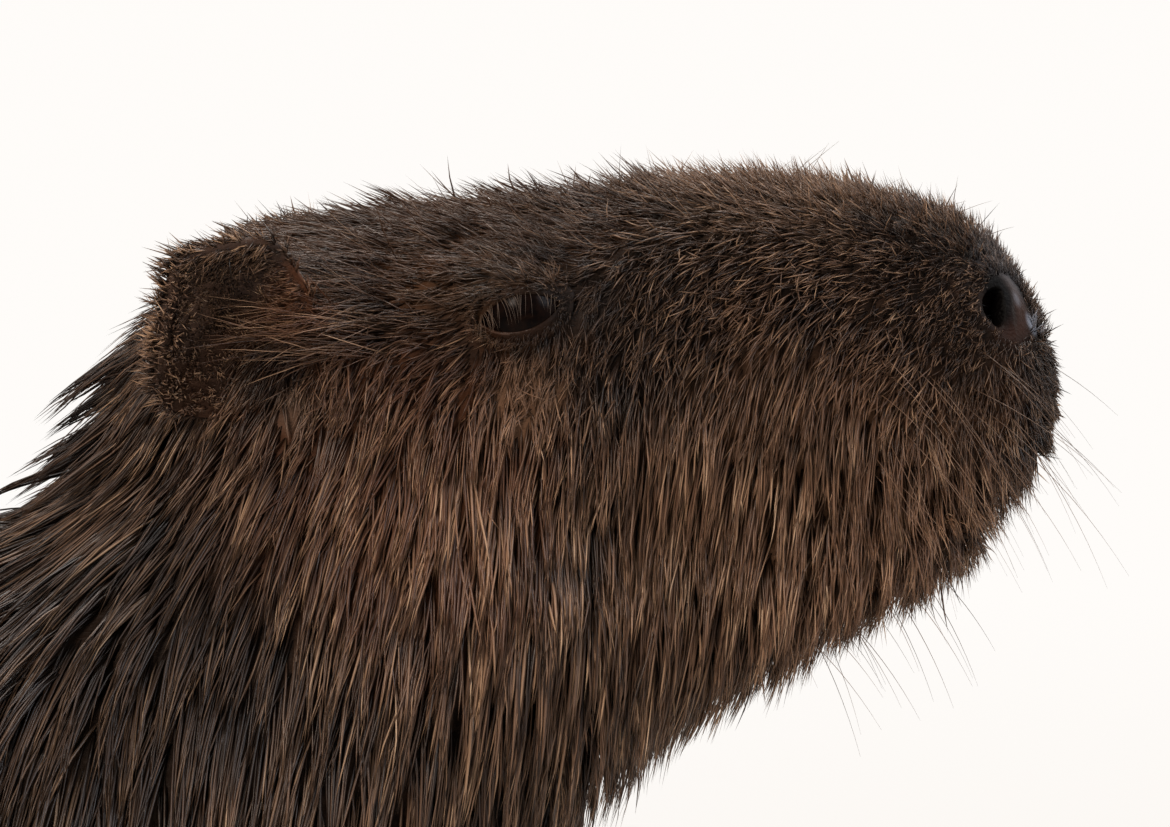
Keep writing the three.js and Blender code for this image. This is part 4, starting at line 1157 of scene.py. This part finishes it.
def growPiece(name, piece, seed, ground, lie):
    rng = np.random.default_rng(seed)
    roots, out = scatter(ground, piece, lie, rng)
    keep = bareSpots(roots, piece.get("eyeGap", 2.2))
    roots, out = roots[keep], out[keep]
    count, segments = len(roots), piece["segments"]
    shares = np.linspace(0, 1, segments + 1)
    line, up, long, usual, lockTone = combHairs(ground, piece, lie, roots, out, shares, rng)
    twist = rng.normal(0, 0.5, (count, 1, 1))
    wide = piece["width"] * rng.uniform(0.7, 1.3, count) * np.clip(long / usual, 0.7, 1.25)
    verts = hairCorners(line, up, twist, wide, shares)
    mesh, corners = hairMesh(name, verts, segments)
    hairTone = rng.beta(1.3, 1.3 / piece["light"] - 1.3, count)
    tone = np.clip(0.62 * hairTone + 0.38 * lockTone * 2 * piece["light"], 0, 1)
    ends = np.append(np.repeat(shares[:-1], 3), 1.0)
    tone = np.clip(np.repeat(tone, len(ends)) + 0.16 * (np.tile(ends, count) - 0.4), 0, 1)
    for word, values in (("tone", tone), ("along", np.tile(ends, count))):
        mesh.attributes.new(word, "FLOAT", "POINT").data.foreach_set("value", values.astype(np.float32))
    patch = np.stack([ends, np.append(np.tile([0, 0.5, 1.0], segments), 0.5)], 1)
    uv = hideMap(roots, out)[:, None] + patch[None] * habits["bakePatch"]
    layer = mesh.uv_layers.new(name="OFBake")
    layer.data.foreach_set("uv", uv.reshape(-1, 2)[corners].ravel().astype(np.float32))
    coat = placed(mesh, name, piece.get("look", headFur))
    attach(coat, "root")
    return len(corners) // 3


total = 0
for number, (name, piece) in enumerate(singlePieces()):
    made = growPiece(name, piece, 40 + number, skinGround, lieAt)
    total += made
    report(f"{name}: {made} triangles")

# Hair of the ears, lids and temples, with its own seed for the first side
sidePieces = {
    "earFur": {"seed": 60, "hairs": (6400, 3000), "segments": 2, "clump": 3.2, "gather": 0.8,
               "width": (0.5, 0.66), "stray": 0.2, "light": 0.44},
    "earRimFur": {"seed": 64, "hairs": 1000, "segments": 2, "clump": 4, "gather": 0.6, "width": 0.5,
                  "stray": 0.3, "light": 0.4},
    "lidFur": {"seed": 70, "hairs": 1000, "segments": 2, "clump": 1.8, "gather": 0.4, "width": 0.3,
               "stray": 0.2, "light": 0.34, "eyeGap": 0.4},
    "templeHair": {"seed": 80, "hairs": 400, "segments": 5, "clump": 6, "gather": 0.5, "width": 0.36,
                   "stray": 0.6, "light": 0.42},
}
for number, (word, side) in enumerate(sides):
    earGround, lidGround = groundOf(ears[word].data), groundOf(lids[word].data)
    rel = earGround["centres"] - (eye["x"] - 70, side * ear["y"], eye["z"] - 24)
    along, across = eyeFrame(lidGround["centres"], side)[:2]
    outer = (side * lidGround["facing"][:, 1] > 0.1) & (np.hypot(along, across * 1.3) > 6.4)
    temple = headZone & (side * centres[:, 1] > 40) & within(-68, -36, placeX) & within(-14, 34, placeZ)
    for name, faces, ground, lie in (
        ("earFur", np.linalg.norm(rel[:, ::2], axis=1) > 10, earGround, earLie),
        ("earRimFur", earGround["centres"][:, 2] > eye["z"] + 13, earGround, earLie),
        ("lidFur", outer, lidGround, lidLie),
        ("templeHair", temple, skinGround, templeLie),
    ):
        piece = forSide(sidePieces[name], 0 if side < 0 else 1) | {"on": faces}
        total += growPiece(f"{name}_{word}", piece, piece["seed"] + number, ground, lie)
report(f"coat: {total} triangles")


# Whiskers, thin and nearly straight, from the lips, chin and bridge, and lashes that hang over the eyes
whiskers = {
    "lip": {"perSide": 34, "x": (100, 150), "y": (30, 50), "z": (-52, -10), "length": (26, 66), "out": 0.45},
    "chin": {"perSide": 11, "x": (70, 126), "y": (8, 36), "z": (-108, -84), "length": (18, 52), "out": 0.4},
    "bridge": {"perSide": 6, "x": (60, 148), "y": (6, 36), "z": (14, 44), "length": (12, 22), "out": 1.6},
    "width": 0.3, "segments": 8, "droop": 0.04,
}
lashes = {"rear": 30, "fore": 6, "length": (6, 10.5), "width": 0.22, "segments": 5, "droop": 0.24}


def addStrand(bm, place, way, length, kind):
    # kind gives the strand's width, segments and droop
    rings = []
    segments = kind["segments"]
    for k in range(segments + 1):
        radius = kind["width"] * (1 - 0.85 * k / segments) / 2
        ring = bmesh.ops.create_circle(bm, segments=4, radius=radius)["verts"]
        turn = way.to_track_quat("Z", "Y").to_matrix().to_4x4()
        bmesh.ops.transform(bm, matrix=Matrix.Translation(place) @ turn, verts=ring)
        rings.append(edgesOf(ring))
        place = place + way * (length / segments)
        way = (way + Vector((-0.02, 0, -kind["droop"]))).normalized()
    bridge(bm, rings)


def addWhiskers():
    rng = np.random.default_rng(9)
    bm = bmesh.new()
    for kind in ("lip", "chin", "bridge"):
        group = whiskers[kind]
        for n in range(group["perSide"] * 2):
            side = 1 - 2 * (n % 2)
            start = np.array([[eye["x"] + rng.uniform(*group["x"]), side * rng.uniform(*group["y"]),
                               eye["z"] + rng.uniform(*group["z"])]])
            near, normal = onGround(skinGround, start)
            way = Vector(normal[0]) * group["out"] + Vector((0.62, side * 0.15, -0.62))
            way = (way + Vector(rng.normal(0, 0.14, 3))).normalized()
            length = rng.uniform(*group["length"])
            addStrand(bm, Vector(near[0]), way, length, whiskers)
    return toObject(bm, "whiskers", whiskerHair)


def addLashes(word, side):
    rng = np.random.default_rng(12)
    bm = bmesh.new()
    angles = np.append(np.linspace(1.3, 2.95, lashes["rear"]), np.linspace(0.4, 1.2, lashes["fore"]))
    for angle in angles + rng.normal(0, 0.05, len(angles)):
        along, across = eye["half"] * math.cos(angle), (eye["upper"] + 0.4) * math.sin(angle) ** 0.9
        depth = math.sqrt(max(eye["radius"] ** 2 - along ** 2 - across ** 2, 1)) + 0.9
        place = fromSlit(along, across, depth, side)
        bunch = 0.3 * math.sin(8 * angle)  # wet lashes draw together
        way = Vector((0.3 + bunch, side * 0.62, -0.6)) + Vector(rng.normal(0, 0.08, 3))
        addStrand(bm, place, way.normalized(), rng.uniform(*lashes["length"]), lashes)
    return toObject(bm, f"lashes_{word}", lashHair)


for piece in [addWhiskers()] + [addLashes(word, side) for word, side in sides]:
    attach(piece, "root")
report("whiskers and lashes added")


# Floor, light and camera
bm = bmesh.new()
bmesh.ops.create_circle(bm, cap_ends=True, segments=96, radius=1.9)
floorMesh = bpy.data.meshes.new("floor")
bm.to_mesh(floorMesh)
bm.free()
floorLook, floorShader = newMaterial("paleStudioFloor")  # matt painted board, nearly white
floorNoise = addNode(floorLook, "TexNoise", {"Scale": 3.0, "Detail": 2.0})
floorColour = ramp(floorLook, floorNoise.outputs["Fac"], [(0.3, "#b4afa8"), (0.7, "#bdb8b1")])
setLook(floorLook, floorShader, floorColour, 0.8)
placed(floorMesh, "floor", floorLook)

world = bpy.data.worlds.new("studioSky")
bpy.context.scene.world = world
world.use_nodes = True
sky = world.node_tree.nodes["Background"]
coords = addNode(world, "TexCoord")
split = addNode(world, "SeparateXYZ", links={0: coords.outputs["Generated"]})
tall = addNode(world, "MapRange", {1: -1.0, 2: 1.0, 3: 0.0, 4: 1.0}, {0: split.outputs["Z"]})
skyStops = [(0.0, "#cfc6bb"), (0.4, "#efe7de"), (0.46, "#fffcf9"), (0.6, "#fdfbf8"), (1.0, "#e6e6e8")]
skyColour = ramp(world, tall.outputs[0], skyStops)
# the room is brighter behind the animal's left side, as open sky would be, and dimmer where the camera stands
beyond = addNode(world, "MapRange", {1: -0.75, 2: 0.6, 3: 0.34, 4: 1.0}, {0: split.outputs["Y"]})
seen = addNode(world, "LightPath").outputs["Is Camera Ray"]
strength = addNode(world, "Math", {"operation": "MAXIMUM"}, {0: beyond.outputs[0], 1: seen})
world.node_tree.links.new(skyColour, sky.inputs["Color"])
world.node_tree.links.new(strength.outputs[0], sky.inputs["Strength"])

lamps = {
    "overhead": {"place": (0.35, 0.7, 2.3), "size": 1.6, "power": 55, "colour": "#fbf6f0"},
    "front": {"place": (2.1, -0.5, 1.7), "size": 1.2, "power": 24, "colour": "#f4f6ff"},
    "near": {"place": (-0.6, -2.2, 1.9), "size": 1.0, "power": 68, "colour": "#ffefe0"},
}
for name, lamp in lamps.items():
    light = bpy.data.lights.new(name, "AREA")
    light.shape = "DISK"
    light.size, light.energy, light.color = lamp["size"], lamp["power"], linear(lamp["colour"])[:3]
    holder = bpy.data.objects.new(name, light)
    bpy.context.scene.collection.objects.link(holder)
    holder.location = lamp["place"]
    holder.rotation_euler = (Vector((0.3, 0, 0.6)) - holder.location).to_track_quat("-Z", "Y").to_euler()

# The camera stands level with the head and a little in front of square
view = {"aimX": eye["x"] + 19.2, "aimY": -60, "aimZ": eye["z"] - 29.6, "away": 3.0, "turn": 3.0, "rise": 3.5,
        "frameWidth": 345.2}
camera = bpy.data.objects.new("camera", bpy.data.cameras.new("camera"))
bpy.context.scene.collection.objects.link(camera)
aim = Vector(((view["aimX"] + midBodyX) * metre, view["aimY"] * metre, view["aimZ"] * metre))
turn, rise = math.radians(view["turn"]), math.radians(view["rise"])
towards = Vector((math.sin(turn) * math.cos(rise), -math.cos(turn) * math.cos(rise), math.sin(rise)))
camera.location = aim + view["away"] * towards
camera.rotation_euler = (aim - camera.location).to_track_quat("-Z", "Y").to_euler()
camera.data.sensor_width = 36
camera.data.lens = 36 * view["away"] / (view["frameWidth"] * metre)
camera.data.clip_end = 50
bpy.context.scene.camera = camera
bpy.context.scene.view_settings.view_transform = "Standard"

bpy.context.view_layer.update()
report("done")
